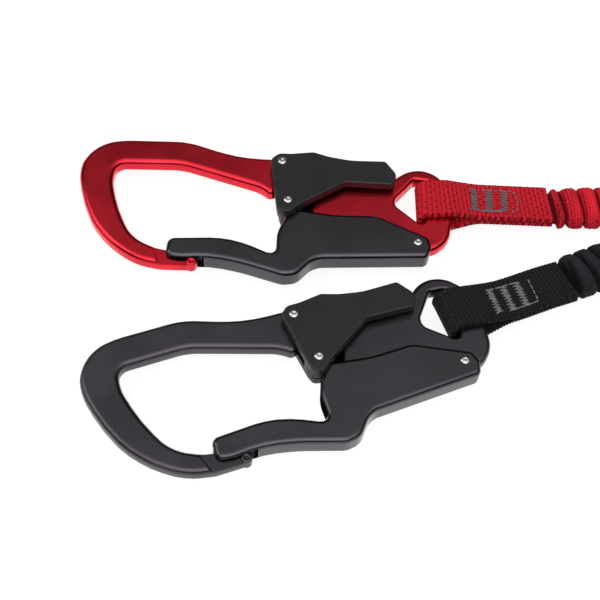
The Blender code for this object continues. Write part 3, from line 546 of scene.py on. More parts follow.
def make_materials(colours):
    """Every finish that the pieces use."""
    red, black = colours.red_yarn, colours.black_yarn
    flat = {"pick": 1.1 * MM, "edge": 8.2 * MM}
    gathered = {"rib": 1.6 * MM, "pick": 1.0 * MM, "fleck": 0.2, "sides": 36.8 * MM}
    MATERIALS.update(
        red_metal=anodised("red_metal_finish", colours.red_metal, 0.20, (0.75, 0.25, 0.25)),
        black_metal=anodised(
            "black_metal_finish", colours.black_metal, 0.33, (0.30, 0.28, 0.29), coat=0.25),
        gate=anodised("gate_finish", colours.gate_black, 0.23, (0.16, 0.15, 0.18), coat=0.5),
        lever=moulded_plastic("lever_finish", colours.lever_black, 0.50, (1700, 1500, 1500), 0.12 * MM),
        rivet=bright_steel("rivet_finish", colours.rivet_metal, 0.17),
        spring=bright_steel("spring_finish", (0.46, 0.46, 0.47), 0.28),
        red_strap=cross_ribbed("red_strap_weave", red, 1.75 * MM, fleck=0.80, dark=0.42, **flat),
        black_strap=cross_ribbed("black_strap_weave", black, 1.6 * MM, fleck=0.5, dark=0.35, **flat),
        red_arm=cross_ribbed("red_arm_weave", red, dark=0.30, **gathered),
        black_arm=cross_ribbed("black_arm_weave", black, dark=0.35, **gathered),
        red_thread=sewing_thread("red_thread_finish", colours.thread_grey),
        black_thread=sewing_thread("black_thread_finish", colours.thread_light),
        pouch=pouch_weave("pouch_finish", colours.pouch_cloth),
        tie_in=woven(
            "tie_in_weave", black, 1.5 * MM, 2.6 * MM, twill=0.5, fleck=0.2, dark=0.4),
        tear=woven(
            "tear_weave", colours.tear_yarn, 1.4 * MM, 3.0 * MM, twill=0.5, fleck=0.2, dark=0.5),
    )


# Modelling tools

ARC_STEP = math.radians(7)
LOOP_PITCH = 2.5 * MM
RIM_STEPS = 6
TURN_STEPS = 48
WELD = 0.004 * MM
QUARTERS = ((1, 1), (-1, 1), (-1, -1), (1, -1))


def field(x, y):
    """A point of the drawing field, in metres."""
    return Vector((x * STEP_X, y * STEP_Y, 0))


def placed(prefix):
    """The transform that lays a connector down at its place."""
    spot = CONNECTORS[prefix]
    return Matrix.Translation(spot["place"]) @ Matrix.Rotation(spot["turn"], 4, "Z")


def weld(model):
    """Join vertices that lie on each other."""
    bmesh.ops.remove_doubles(model, verts=model.verts, dist=WELD)


def turn_outward(model):
    """Turn the faces' normals outward."""
    bmesh.ops.recalc_face_normals(model, faces=model.faces)


def shift(model, x, y, z):
    """Move the whole model."""
    bmesh.ops.translate(model, verts=model.verts, vec=(x, y, z))


def corner_reaches(points, fillets):
    """How far along its edges each corner's fillet reaches, and how much the line turns there."""
    reaches = []
    for i, (point, fillet) in enumerate(zip(points, fillets)):
        before = points[i - 1] - point
        after = points[(i + 1) % len(points)] - point
        turn = math.pi - before.angle(after)
        longest = min(before.length * 0.4998, after.length * 0.4998)
        reaches.append((min(fillet * math.tan(turn / 2), longest), turn))
    return reaches


def round_corners(model, corners, reaches):
    """Bevel each corner vertex into an arc."""
    for corner, (reach, turn) in zip(corners, reaches):
        if reach > WELD:
            bmesh.ops.bevel(
                model, geom=[corner], offset=reach, offset_type="OFFSET", affect="VERTICES",
                segments=max(2, round(turn / ARC_STEP)), profile=0.5, material=-1, clamp_overlap=False)


def draw_face(model, table, step_x=STEP_X, step_y=STEP_Y):
    """A flat face through the table's corners, with its fillets."""
    points = [Vector((x * step_x, y * step_y, 0)) for x, y, _ in table]
    corners = [model.verts.new(point) for point in points]
    model.faces.new(corners)
    round_corners(model, corners, corner_reaches(points, [f * step_x for _, _, f in table]))
    weld(model)


def draw_ring(model, outline, hole, seams):
    """Two flat faces that make an outline with a hole, meeting on the seams."""
    def line(table, key):
        """A line's corners, those to round with their reaches, and the seams' places on it."""
        points = [field(x, y) for x, y, _ in table]
        reaches = corner_reaches(points, [f * STEP_X for _, _, f in table])
        corners, round_these, at = [], [], {}
        for (x, y, _), point, reach in zip(table, points, reaches):
            corners.append(model.verts.new(point))
            round_these.append((corners[-1], reach))
            for i, seam in enumerate(seams):
                corner, spot = seam[key]
                if corner == (x, y):
                    at[i] = len(corners)
                    corners.append(model.verts.new(field(*spot)))
        return corners, round_these, at

    def stretch(corners, start, end):
        """The corners from start on to end."""
        count = (end - start) % len(corners)
        return [corners[(start + k) % len(corners)] for k in range(count + 1)]

    outer, outer_rounds, outer_at = line(outline, "outline")
    inner, inner_rounds, inner_at = line(hole, "hole")
    for first, second in ((0, 1), (1, 0)):
        away = stretch(outer, outer_at[first], outer_at[second])
        back = stretch(inner, inner_at[first], inner_at[second])
        model.faces.new(away + back[::-1])
    round_corners(model, *zip(*(outer_rounds + inner_rounds)))
    weld(model)


def thicken(model, thickness, rim=0.0, rim_steps=RIM_STEPS):
    """Give flat faces a thickness about z = 0 and round the rims."""
    grown = bmesh.ops.extrude_face_region(model, geom=model.faces[:])["geom"]
    raised = [item for item in grown if isinstance(item, bmesh.types.BMVert)]
    bmesh.ops.translate(model, verts=raised, vec=(0, 0, thickness))
    shift(model, 0, 0, -thickness / 2)
    turn_outward(model)
    if rim:
        round_rims(model, rim, rim_steps)


def round_rims(model, rim, rim_steps, wanted=lambda spot: True):
    """Round the edges between flat faces and walls, where their middles are wanted."""
    rims = [
        edge for edge in model.edges
        if abs(edge.verts[0].co.z - edge.verts[1].co.z) < WELD
        and any(abs(face.normal.z) < 0.01 for face in edge.link_faces)
        and any(abs(face.normal.z) > 0.99 for face in edge.link_faces)
        and wanted((edge.verts[0].co + edge.verts[1].co) / 2)]
    bmesh.ops.bevel(
        model, geom=rims, offset=rim, offset_type="OFFSET", affect="EDGES", segments=rim_steps,
        profile=0.5, material=-1, clamp_overlap=False)


def model_plate(table, thickness, rim=0.0, height=0.0):
    """A plate of the table's outline, with rounded rims, raised by height."""
    model = bmesh.new()
    draw_face(model, table)
    thicken(model, thickness, rim)
    shift(model, 0, 0, height)
    return model


def model_bar(radius, length, place, height=0.0):
    """A round cutter along +Z."""
    model = bmesh.new()
    bmesh.ops.create_cone(
        model, cap_ends=True, segments=40, radius1=radius, radius2=radius, depth=length)
    shift(model, *(field(*place) + Vector((0, 0, height))))
    return model


def add_object(name, data):
    """A new object in the lanyard's collection."""
    item = bpy.data.objects.new(name, data)
    bpy.data.collections[COLLECTION].objects.link(item)
    return item


def new_object(name, model):
    """An object that holds the model, which is freed."""
    mesh = bpy.data.meshes.new(name)
    model.to_mesh(mesh)
    model.free()
    return add_object(name, mesh)


def shown_mesh(item):
    """A new mesh of what an object shows, its modifiers applied."""
    depsgraph = bpy.context.evaluated_depsgraph_get()
    return bpy.data.meshes.new_from_object(item.evaluated_get(depsgraph), depsgraph=depsgraph)


def settle(item):
    """Apply an object's modifiers to its mesh."""
    mesh, old = shown_mesh(item), item.data
    item.modifiers.clear()
    item.data = mesh
    mesh.name = item.name
    bpy.data.meshes.remove(old)


def carve(item, cutters):
    """Cut each model out of an object."""
    helpers = []
    for k, model in enumerate(cutters):
        turn_outward(model)
        helper = new_object(f"{item.name}_cutter_{k}", model)
        difference = item.modifiers.new(helper.name, "BOOLEAN")
        difference.operation = "DIFFERENCE"
        difference.solver = "EXACT"
        difference.object = helper
        helpers.append(helper)
    settle(item)
    for helper in helpers:
        bpy.data.objects.remove(helper)


def finish_piece(item, material, slot, nodes=(), body="lanyard", sharp=40.0, weighted=True):
    """Smooth shading, material, replaced nodes and body of a finished piece."""
    mesh = item.data
    model = bmesh.new()
    model.from_mesh(mesh)
    weld(model)
    bmesh.ops.dissolve_degenerate(model, edges=model.edges, dist=WELD)
    model.to_mesh(mesh)
    model.free()
    mesh.shade_smooth()
    mesh.set_sharp_from_angle(angle=math.radians(sharp))
    mesh.materials.clear()
    mesh.materials.append(MATERIALS[material])
    if weighted:
        item.modifiers.new("weighted", "WEIGHTED_NORMAL").keep_sharp = True
    if nodes:
        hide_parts(*nodes)
    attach(item, body)


def finish_cloth(item, material, slot, nodes=(), sharp=60.0):
    """Finish a piece of webbing, cloth or thread."""
    finish_piece(item, material, slot, nodes, sharp=sharp, weighted=False)


def smooth_route(points, spacing):
    """Points at even spacing along a smooth curve through the given ones."""
    knots = [Vector(p) for p in points]
    fine, per_span = [], 24
    for i in range(len(knots) - 1):
        p0 = knots[i - 1] if i > 0 else 2 * knots[0] - knots[1]
        p1, p2 = knots[i], knots[i + 1]
        p3 = knots[i + 2] if i + 2 < len(knots) else 2 * knots[-1] - knots[-2]
        for k in range(per_span):
            t = k / per_span
            fine.append(0.5 * ((2 * p1) + (p2 - p0) * t + (2 * p0 - 5 * p1 + 4 * p2 - p3) * t * t
                               + (3 * p1 - 3 * p2 + p3 - p0) * t ** 3))
    fine.append(knots[-1])
    return resample(fine, spacing)


def resample(line, spacing):
    """Points at even spacing along a polyline."""
    total = sum((b - a).length for a, b in zip(line, line[1:]))
    count = max(2, round(total / spacing))
    step = total / count
    even, walked, target = [line[0].copy()], 0.0, step
    for a, b in zip(line, line[1:]):
        length = (b - a).length
        while len(even) < count and walked + length >= target:
            even.append(a.lerp(b, (target - walked) / length))
            target += step
        walked += length
    even.append(line[-1].copy())
    return even


def rounded_line(points, fillets):
    """A polyline with its inner corners turned into soft curves."""
    line, steps = [points[0]], 8
    for i in range(1, len(points) - 1):
        corner = points[i]
        before, after = points[i - 1] - corner, points[i + 1] - corner
        turn = math.pi - before.angle(after)
        if turn < 0.01 or not fillets[i]:
            line.append(corner)
            continue
        reach = min(fillets[i] * math.tan(turn / 2), before.length * 0.49, after.length * 0.49)
        start = corner + before.normalized() * reach
        end = corner + after.normalized() * reach
        for k in range(steps + 1):
            t = k / steps
            line.append(start.lerp(corner, t).lerp(corner.lerp(end, t), t))
    line.append(points[-1])
    return line


def smooth_step(value, low, high):
    """0 below low, 1 above high and smooth between."""
    share = min(1.0, max(0.0, (value - low) / (high - low)))
    return share * share * (3 - 2 * share)


def threads(name, lines, radius):
    """Sewing thread along each of the lines, as one mesh object."""
    data = bpy.data.curves.new(name, "CURVE")
    data.dimensions = "3D"
    data.bevel_depth = radius
    data.bevel_resolution = 1
    data.use_fill_caps = True
    for line in lines:
        spline = data.splines.new("POLY")
        spline.points.add(len(line) - 1)
        for knot, point in zip(spline.points, line):
            knot.co = (*point, 1)
    drawn = add_object(name + "_drawn", data)
    mesh = shown_mesh(drawn)
    bpy.data.objects.remove(drawn)
    mesh.name = name
    return add_object(name, mesh)


def cut_stitches(line, stitch, gap, step):
    """Runs of a line as long as a stitch, with gaps between them."""
    route = resample(line, step)
    inside, period = round(stitch / step), round((stitch + gap) / step)
    return [route[k:k + inside + 1] for k in range(0, len(route) - inside, period)]


def tangents(points):
    """The line's direction at each of its points."""
    last = len(points) - 1
    return [(points[min(i + 1, last)] - points[max(i - 1, 0)]).normalized() for i in range(last + 1)]


def weave_grid(model, count, rows, uv_at):
    """Make a grid with its own map, and give each vertex's step along and share across."""
    bmesh.ops.create_grid(model, x_segments=count - 1, y_segments=rows, size=1.0)
    layer = model.loops.layers.uv.new("weave")
    places = {}
    for vert in model.verts:
        places[vert] = (round((vert.co.x + 1) / 2 * (count - 1)), (vert.co.y + 1) / 2)
    for face in model.faces:
        for loop in face.loops:
            loop[layer].uv = uv_at(*places[loop.vert])
    return places


def band(name, line, width, ply, rows, spacing=0.5 * MM, warp=None, scallop=0.0):
    """A woven band of a width along Y that follows a line, thickened to its ply."""
    points = resample(line, spacing)
    ways = tangents(points)
    model = bmesh.new()
    places = weave_grid(
        model, len(points), rows, lambda i, share: (i * spacing, (share - 0.5) * width))
    aside = Vector((0, 1, 0))
    for vert, (i, share) in places.items():
        share -= 0.5
        edge = abs(share) * 2
        # Small loops stand out along the edges, which also turn in a little
        loops = scallop * max(0.0, edge - 0.8) * 5 * math.cos(math.tau * i * spacing / LOOP_PITCH)
        place = points[i] + aside * (share * width + math.copysign(loops, share))
        place -= ways[i].cross(aside).normalized() * 0.06 * ply * edge ** 6
        vert.co = place if warp is None else warp(place)
    turn_outward(model)
    item = new_object(name, model)
    thick = item.modifiers.new("ply", "SOLIDIFY")
    thick.thickness = ply
    thick.offset = 0
    thick.use_even_offset = False
    soft = item.modifiers.new("selvedge", "BEVEL")
    soft.width = ply * 0.42
    soft.segments = 3
    soft.limit_method = "ANGLE"
    soft.angle_limit = math.radians(50)
    return item


# Pieces

def gate_half(sizes):
    """Half the gate's thickness."""
    return sizes.frame_plate / 2 + sizes.gate_proud


def rivet_bore(sizes):
    """The radius of a hole for a rivet."""
    return sizes.rivet_shank + sizes.fit_gap


def build_metal(prefix, name, model, material, slot, cutters=(), node=None, **finish):
    """A connector's piece: its model, cut, laid down at its place and finished."""
    item = new_object(f"{prefix}_{name}_fine", model)
    if cutters:
        carve(item, cutters)
    item.data.transform(placed(prefix))
    finish_piece(item, material, slot, [f"{prefix}_{node or name}"], **finish)


def build_frame(prefix, sizes):
    """The C-shaped frame with its eye, latch pocket, tongue and bores."""
    plate, tongue = sizes.frame_plate, sizes.tongue_plate
    model = bmesh.new()
    draw_ring(model, FRAME_OUTLINE, EYE_HOLE, SEAMS)
    thicken(model, plate)
    low, high = (field(*corner) for corner in EYE_BOX)

    def in_eye(spot):
        """Whether a place is on the eye's hole."""
        return low.x < spot.x < high.x and low.y < spot.y < high.y

    eye_rim = sizes.frame_rim * 0.65
    round_rims(model, sizes.frame_rim, 8, lambda spot: not in_eye(spot))
    round_rims(model, eye_rim, 6, in_eye)
    bore, through = rivet_bore(sizes), plate + 4 * MM
    deep, pivots = 2 * RECESS_DEPTH, (LEVER_PIVOT, GATE_PIVOT)
    build_metal(prefix, "frame", model, prefix + "_metal", prefix + "_anodised", [
        *(model_plate(TONGUE_CUT, plate - tongue, 0, side * plate / 2) for side in (1, -1)),
        *(model_bar(bore, through, pivot) for pivot in pivots),
        *(model_bar(RECESS_RADIUS, deep, pivot, plate / 2) for pivot in pivots),
        model_plate(LEG_WAY, deep, 0, plate / 2),
        model_bar(NOSE_BORE + sizes.fit_gap, through, NOSE_PIN),
        *(model_plate(TONGUE_GROOVE, 2 * GROOVE_DEPTH, 0, side * tongue / 2) for side in (1, -1))])


def build_gate(prefix, sizes):
    """The gate astride the frame, with its catch lug and nose slot."""
    half = gate_half(sizes)
    model = model_plate(GATE_OUTLINE, 2 * half, sizes.gate_rim)
    build_metal(prefix, "gate", model, "gate", "gate_black", [
        model_plate(GATE_SLOT, sizes.frame_plate + 2 * sizes.fit_gap),
        model_plate(NOSE_SLOT, sizes.nose_slot),
        model_bar(rivet_bore(sizes), 4 * half, GATE_PIVOT)], body=prefix + "_gate_body")


def build_lever(prefix, sizes):
    """The lock lever: two cheeks joined by a bridge along the spine."""
    inner, bore = gate_half(sizes) + sizes.fit_gap, rivet_bore(sizes)
    half = inner + sizes.cheek_plate
    model = model_plate(LEVER_OUTLINE, 2 * half, sizes.lever_rim)
    build_metal(prefix, "lock_lever", model, "lever", "lever_black", [
        model_plate(LEVER_SLOT, 2 * inner), model_plate(BACK_TRIM, half, 0, -half),
        model_bar(bore, 4 * half, LEVER_PIVOT), model_bar(bore, 4 * half, LATCH_RIVET)],
        body=prefix + "_lever_body")


def build_latch(prefix, sizes):
    """The latch block between the cheeks."""
    plate = sizes.frame_plate
    build_metal(
        prefix, "latch", model_plate(LATCH_OUTLINE, plate, 0.25 * MM), "lever", "lever_black",
        [model_bar(rivet_bore(sizes), 2 * plate, LATCH_RIVET)], "latch_block",
        body=prefix + "_lever_body")


def turned_model(profile, place):
    """A piece turned about +Z from a profile that runs from pole to pole."""
    model = bmesh.new()
    verts = [model.verts.new((radius, 0, height)) for radius, height in profile]
    edges = [model.edges.new(pair) for pair in zip(verts, verts[1:])]
    bmesh.ops.spin(
        model, geom=verts + edges, cent=(0, 0, 0), axis=(0, 0, 1), angle=math.tau,
        steps=TURN_STEPS, use_merge=True, use_duplicate=False)
    weld(model)
    turn_outward(model)
    shift(model, *field(*place))
    return model


def build_rivets(prefix, sizes):
    """The rivets, with a dimpled dome at each end, and the finish of both springs."""
    lever_half = gate_half(sizes) + sizes.fit_gap + sizes.cheek_plate
    upper = [(sizes.rivet_head * r, sizes.rivet_dome * z) for r, z in HEAD_PROFILE]
    upper.append((sizes.rivet_shank, upper[-1][1]))
    for name, half, place, body in (
            ("lever_rivet", lever_half, LEVER_PIVOT, "lanyard"),
            ("latch_rivet", lever_half, LATCH_RIVET, prefix + "_lever_body"),
            ("gate_rivet", gate_half(sizes), GATE_PIVOT, "lanyard")):
        profile = [(r, half + z) for r, z in upper] + [(r, -half - z) for r, z in reversed(upper)]
        build_metal(
            prefix, name, turned_model(profile, place), "rivet", "rivet_steel", body=body, sharp=50)
    for name in ("_gate_spring", "_lock_spring"):
        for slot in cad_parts[prefix + name].material_slots:
            slot.material = MATERIALS["spring"]


def build_nose_pin(prefix, sizes):
    """The pin across the frame's tongue, dimpled at both ends and shorter below."""
    radius, half, edge, shorter = 1.9 * MM, 2.7 * MM, 0.7 * MM, 0.8 * MM
    dimple, dip = 0.5 * MM, 0.45 * MM
    top = [(0, half - dip), (dimple, half - dip)]
    for turn in range(-45, 91, 15):
        a = math.radians(turn)
        top.append((radius - edge + edge * math.sin(a), half - edge + edge * math.cos(a)))
    profile = top + [(r, shorter - z) for r, z in reversed(top)]
    x, y = NOSE_PIN
    build_metal(
        prefix, "nose_pin", turned_model(profile, (x + 0.2, y - 0.7)), prefix + "_metal",
        prefix + "_anodised", sharp=50)


def strap_matrix(prefix):
    """From the strap's own axes, fold at the origin and length along +X, to the model."""
    fold = Matrix.Translation(field(*STRAP_FOLD)) @ Matrix.Rotation(STRAP_TURN, 4, "Z")
    return placed(prefix) @ fold


def upright(*points):
    """Points of the upright plane along X."""
    return [Vector((x, 0, z)) for x, z in points]


def strap_line(sizes):
    """The middle line of the sewn loop's ply, from its upper end round the fold to its lower."""
    ply = sizes.strap_ply / 2
    mid = sizes.frame_plate / 2 + sizes.fit_gap + ply
    leaves, joins, end, dip = 12.8 * MM, 23.0 * MM, sizes.strap_length, -0.8 * MM
    points = upright(
        (end, STRAP_SAG + ply), (joins, dip + ply), (leaves, mid), (ply, mid),
        (ply, -mid), (leaves, -mid), (joins, dip - ply), (end, STRAP_SAG - ply))
    return rounded_line(points, [0, 22 * MM, 9 * MM, 3.9 * MM, 3.9 * MM, 9 * MM, 22 * MM, 0])


def strap_warp(prefix, sizes):
    """How a loop lies: its fold askew, then a roll about its length, a sway aside and a lift.

    Each comes in smoothly over a stretch of the loop's length.
    """
    lie = STRAP_LIE[prefix]
    half = sizes.strap_width / 2

    def warp(place):
        x, y, z = place
        roll = lie["roll"] * smooth_step(x, 7 * MM, 15 * MM)
        drop = STRAP_SAG * x / sizes.strap_length
        sway = lie["sway"] * smooth_step(x, 3 * MM, 15 * MM) * (
            1 - 0.5 * smooth_step(x, 26 * MM, 46 * MM))
        lift = lie["raise"] * smooth_step(x, 11 * MM, 24 * MM)
        x += 0.55 * MM * (1 + y / half) * (1 - smooth_step(x, 1 * MM, 14 * MM))
        z -= drop
        y, z = y * math.cos(roll) + z * math.sin(roll), z * math.cos(roll) - y * math.sin(roll)
        return Vector((x, y + sway, z + drop + lift))
    return warp


def strap_top(prefix, sizes, lift):
    """A function from a place along and across the loop to the point on its upper face."""
    line = strap_line(sizes)
    upper = line[:next(i for i, p in enumerate(line) if p.x < 8 * MM)]
    warp = strap_warp(prefix, sizes)
    skew = STRAP_LIE[prefix]["skew"]

    def top(along, across):
        along += skew * across
        for a, b in zip(upper, upper[1:]):
            if b.x <= along <= a.x:
                height = a.lerp(b, (a.x - along) / (a.x - b.x)).z
                return warp(Vector((along, across, height + sizes.strap_ply / 2 + lift)))
        raise ValueError("no place on the loop")
    return top


def zigzag(top, along, low, high, reach, pitch, seed):
    """A zigzag seam across the loop, a little uneven, that dips into the weave at its tips."""
    count = max(2, round((high - low) / (pitch / 2)))
    line = []
    for k in range(count + 1):
        y = low + (high - low) * k / count
        uneven = noise.noise(Vector((k * 1.9, seed, 0.3)))
        x = along + (reach if k % 2 else -reach) * (1 + 0.35 * uneven)
        tip = top(x, y)
        if line:
            line.append((line[-1] + tip) / 2 + Vector((0, 0, 0.18 * MM)))
        line.append(tip)
    return line


def build_tacks(prefix, sizes):
    """Three zigzag bar tacks across the loop, and rows of stitches that join and pass them."""
    top = strap_top(prefix, sizes, sizes.thread * 0.25)
    first, pitch, low, high = TACKS[prefix]
    middle, last = first + pitch, first + 2 * pitch
    lines = []
    for k in range(3):
        along = first + k * pitch
        if prefix == "red":
            lines.append(zigzag(top, along, low, high, 1.5 * MM, (1.30 if k else 1.20) * MM, k + 5.2))
        else:
            lines.append(zigzag(top, along, low, high, 1.5 * MM, 1.35 * MM, k + 8.4))
            lines.append(zigzag(
                top, along + 0.3 * MM, low + 0.6 * MM, high, 1.0 * MM, 1.15 * MM, k + 2.1))

    def seam(stitch, gap, *points):
        """Stitches of one length with gaps along a route over the loop."""
        route = [Vector((x, y, 0)) for x, y in points]
        for piece in cut_stitches(route, stitch, gap, 0.3 * MM):
            lines.append([
                top(p.x, p.y) + Vector((0, 0, (0.12 if 0 < n < len(piece) - 1 else -0.2) * MM))
                for n, p in enumerate(piece)])

    if prefix == "red":
        seam(2.4 * MM, 0.3 * MM, (first, low), (middle, low - 0.3 * MM), (last, low))
        seam(3.2 * MM, 0.3 * MM, (middle - 2 * MM, low + 0.3 * MM), (last, low + 0.4 * MM))
        seam(1.3 * MM, 1.1 * MM, (middle - 2.4 * MM, high), (last, high + 0.1 * MM))
        turns = [math.pi * k / 20 for k in range(21)]
        seam(1.2 * MM, 0.9 * MM, *(
            (last + 1.8 * MM + 3.6 * MM * math.sin(turn) ** 0.6,
             high - (high - low) * (1 - math.cos(turn)) / 2) for turn in turns))
    else:
        past, ends = last + 5.2 * MM, low + 0.4 * MM
        seam(2.2 * MM, 0.9 * MM, (first, high), (middle, high + 0.2 * MM), (last, high))
        seam(1.5 * MM, 0.75 * MM, (past, high - 0.6 * MM), (past, ends))
        seam(5.1 * MM, 0.3 * MM, (last, low + 0.2 * MM), (last + 2.6 * MM, low + 0.1 * MM), (past, ends))
        seam(4.2 * MM, 0.4 * MM, (middle, low), (middle + 4.6 * MM, low + 0.3 * MM))
    item = threads(prefix + "_bar_tacks", lines, sizes.thread)
    item.data.transform(strap_matrix(prefix))
    finish_cloth(item, prefix + "_thread", prefix + "_webbing")


def build_strap(prefix, sizes):
    """The webbing loop sewn round the eye's bar."""
    item = band(
        prefix + "_webbing_loop_fine", strap_line(sizes), sizes.strap_width,
        sizes.strap_ply - 0.12 * MM, 48, 0.34 * MM, strap_warp(prefix, sizes), 0.36 * MM)
    item.data.transform(strap_matrix(prefix))
    finish_cloth(item, prefix + "_strap", prefix + "_webbing", [prefix + "_webbing_loop"])


def arm_path(prefix, sizes):
    """The arm's whole route, from where it leaves the strap to the pouch."""
    lie = strap_matrix(prefix)
    start = lie @ Vector((sizes.strap_length + sizes.fit_gap, 0, 0))
    along = (lie.to_3x3() @ Vector((1, 0, 0))).normalized()
    straight = [start + along * sizes.arm_width * k / 2 for k in range(3)]
    height = sizes.arm_height / 2 + 0.5 * MM
    return smooth_route([(p.x, p.y, height) for p in straight] + ARM_ROUTES[prefix], 0.6 * MM)


def ruffle_valleys(first, total, pitch, seed):
    """Where the gathers of an arm are drawn in, as places along it and half widths."""
    valleys = [(place * MM, width * MM) for place, width in first]
    while valleys[-1][0] < total:
        k = len(valleys)
        step = pitch * (1 + 0.16 * noise.noise(Vector((k * 2.3, seed, 0.7))))
        width = 0.75 * MM * (1 + 0.7 * noise.noise(Vector((k * 1.7, seed, 4.1))))
        valleys.append((valleys[-1][0] + step, width))
    return valleys


def build_arm(prefix, sizes):
    """The gathered elastic arm, as one tube whose ruffles repeat along the route."""
    route = arm_path(prefix, sizes)
    sides, slack, power, in_view = 68, 1.35, 0.80, 60
    fine = resample(route[:in_view], 0.3 * MM)
    path = fine[:-1] + resample(route[in_view - 1:], 0.8 * MM)
    ways = tangents(path)
    walk = [0.0]
    for a, b in zip(path, path[1:]):
        walk.append(walk[-1] + (b - a).length)
    total = walk[-1]
    seed, lofty, lean, first_valleys = GATHERS[prefix]
    valleys = ruffle_valleys(first_valleys, total, sizes.ruffle_pitch, seed)
    model = bmesh.new()
    gather = model.verts.layers.float.new("gather")
    places = weave_grid(
        model, len(path), sides, lambda i, turn: (walk[i] * slack, turn * 2 * sizes.arm_width))
    first = 0
    for vert, (i, turn) in sorted(places.items(), key=lambda entry: entry[1]):
        side = Vector((0, 0, 1)).cross(ways[i]).normalized()
        up = ways[i].cross(side)
        angle = (turn % 1.0) * math.tau
        across, rise = math.cos(angle), math.sin(angle)
        s = walk[i]
        wander = noise.noise(Vector((s * 60, across * 0.9, seed))) * 0.5 * MM
        bow = 1 - across * across
        leaned = s - lean * MM * (1 - across) - 0.2 * MM * bow + wander
        while first + 1 < len(valleys) and valleys[first + 1][0] < s - 4 * MM:
            first += 1
        # 0 in the nearest gather, 1 on the ruffles between
        swell = 1.0
        for centre, width in valleys[first:first + 4]:
            gap = abs(leaned - centre) / (width * (0.55 + 0.45 * bow))
            swell = min(swell, gap ** 1.4 / (0.42 + gap ** 1.4) * 1.08)
        lump = 1 + 0.10 * noise.noise(Vector((s * 95, across * 1.4, seed + 2)))
        swell *= lump * smooth_step(total - s, -2 * MM, 0.9 * sizes.arm_width)
        if s < 2.5 * MM:
            swell *= smooth_step(leaned, 0.3 * MM, 2.5 * MM)
        # The swell is kept for the arm's material, which paints shade in the gathers and a highlight on the
        # crests
        vert[gather] = swell
        half_w = sizes.arm_width / 2 * (0.76 + 0.20 * swell)
        half_h = sizes.arm_height / 2 * (0.42 + 0.58 * swell)
        if rise > 0:
            half_h *= 1 + (lofty - 1) * swell
        # Ribs of the webbing, only where the arm is in view
        if i < len(fine):
            half_h += 0.13 * MM * math.cos(math.tau * leaned / (1.6 * MM)) * min(1.0, swell * 1.5)
        rough = smooth_step(abs(across), 0.6, 0.9) * 0.22 * MM
        rough *= noise.noise(Vector((s * 1100, turn * 60, seed)))
        wide = math.copysign(abs(across) ** power, across)
        high = math.copysign(abs(rise) ** power, rise)
        vert.co = path[i] + side * (half_w + rough) * wide + up * (half_h + rough) * high
    weld(model)
    ends = [edge for edge in model.edges if edge.is_boundary]
    bmesh.ops.holes_fill(model, edges=ends, sides=0)
    turn_outward(model)
    item = new_object(prefix + "_arm_fine", model)
    finish_cloth(item, prefix + "_arm", prefix + "_webbing", [prefix + "_arm"], 70)
    tuple(path[0])
    [tuple(p) for p in route[::6] + [route[-1]]]


def box_model(length, width, height, corner, rim, centre):
    """A block with round corners and rims."""
    model = bmesh.new()
    table = [(x * length / 2, y * width / 2, corner) for x, y in QUARTERS]
    draw_face(model, table, 1.0, 1.0)
    thicken(model, height, rim, 8)
    shift(model, *centre)
    return model


def rounded_loop(length, width, corner, height):
    """A closed line round a rectangle with round corners."""
    line = []
    for turn, (x, y) in enumerate(QUARTERS):
        centre = Vector((x * (length / 2 - corner), y * (width / 2 - corner), height))
        for k in range(9):
            angle = math.radians(90 * turn + 90 * k / 8)
            line.append(centre + corner * Vector((math.cos(angle), math.sin(angle), 0)))
    return line + [line[0]]


def finish_absorber(item, material, slot, nodes=()):
    """Put a piece of the absorber at its place and finish it."""
    item.data.transform(Matrix.Translation(POUCH_PLACE))
    finish_cloth(item, material, slot, nodes)


def build_pouch(sizes):
    """The absorber pouch: a cloth shell with its mouths, piping and stitched flap."""
    length, width, height = sizes.pouch_length, sizes.pouch_width, sizes.pouch_height
    corner, rim, wall, flap_gap, flap_ply = 9 * MM, 5 * MM, 2.2 * MM, 0.3 * MM, 1.6 * MM
    middle, end = Vector((0, 0, height / 2)), Vector((length / 2, 0, 0))
    mouth = 22.4 * MM + sizes.arm_width * 0.8 + 0.6 * MM
    shell = new_object("pouch_shell_fine", box_model(length, width, height, corner, rim, middle))
    inside = (length - 2 * wall, width - 2 * wall, height - 2 * wall)
    carve(shell, [
        box_model(*inside, 6.8 * MM, 0, middle),
        box_model(9 * MM, mouth, sizes.arm_height * 0.8 + 0.6 * MM, 0, 0, middle + end),
        box_model(9 * MM, 23.2 * MM, 9 * MM, 0, 0, middle - end)])
    finish_absorber(shell, "pouch", "pouch_fabric", ["pouch_shell"])
    centre = Vector((0, 0, height + flap_gap + flap_ply / 2))
    flap = new_object(
        "pouch_flap_fine", box_model(84 * MM, 40 * MM, flap_ply, corner, 0.5 * MM, centre))
    finish_absorber(flap, "pouch", "pouch_fabric", ["pouch_flap"])

    piping = [
        rounded_loop(length + 0.4 * MM, width + 0.4 * MM, corner, level)
        for level in (rim, height - rim)]
    finish_absorber(threads("pouch_piping", piping, 0.9 * MM), "pouch", "pouch_fabric")
    dip = Vector((0, 0, -0.3 * MM))
    rows = []
    for row_length, row_width, row_corner in ((80, 36, 7), (75, 31, 5)):
        row = rounded_loop(
            row_length * MM, row_width * MM, row_corner * MM, height + flap_gap + flap_ply)
        for piece in cut_stitches(row, 2.4 * MM, 1.2 * MM, 0.6 * MM):
            rows.append([piece[0] + dip, *piece[1:-1], piece[-1] + dip])
    finish_absorber(threads("pouch_flap_seams", rows, 0.2 * MM), "red_thread", "pouch_fabric")


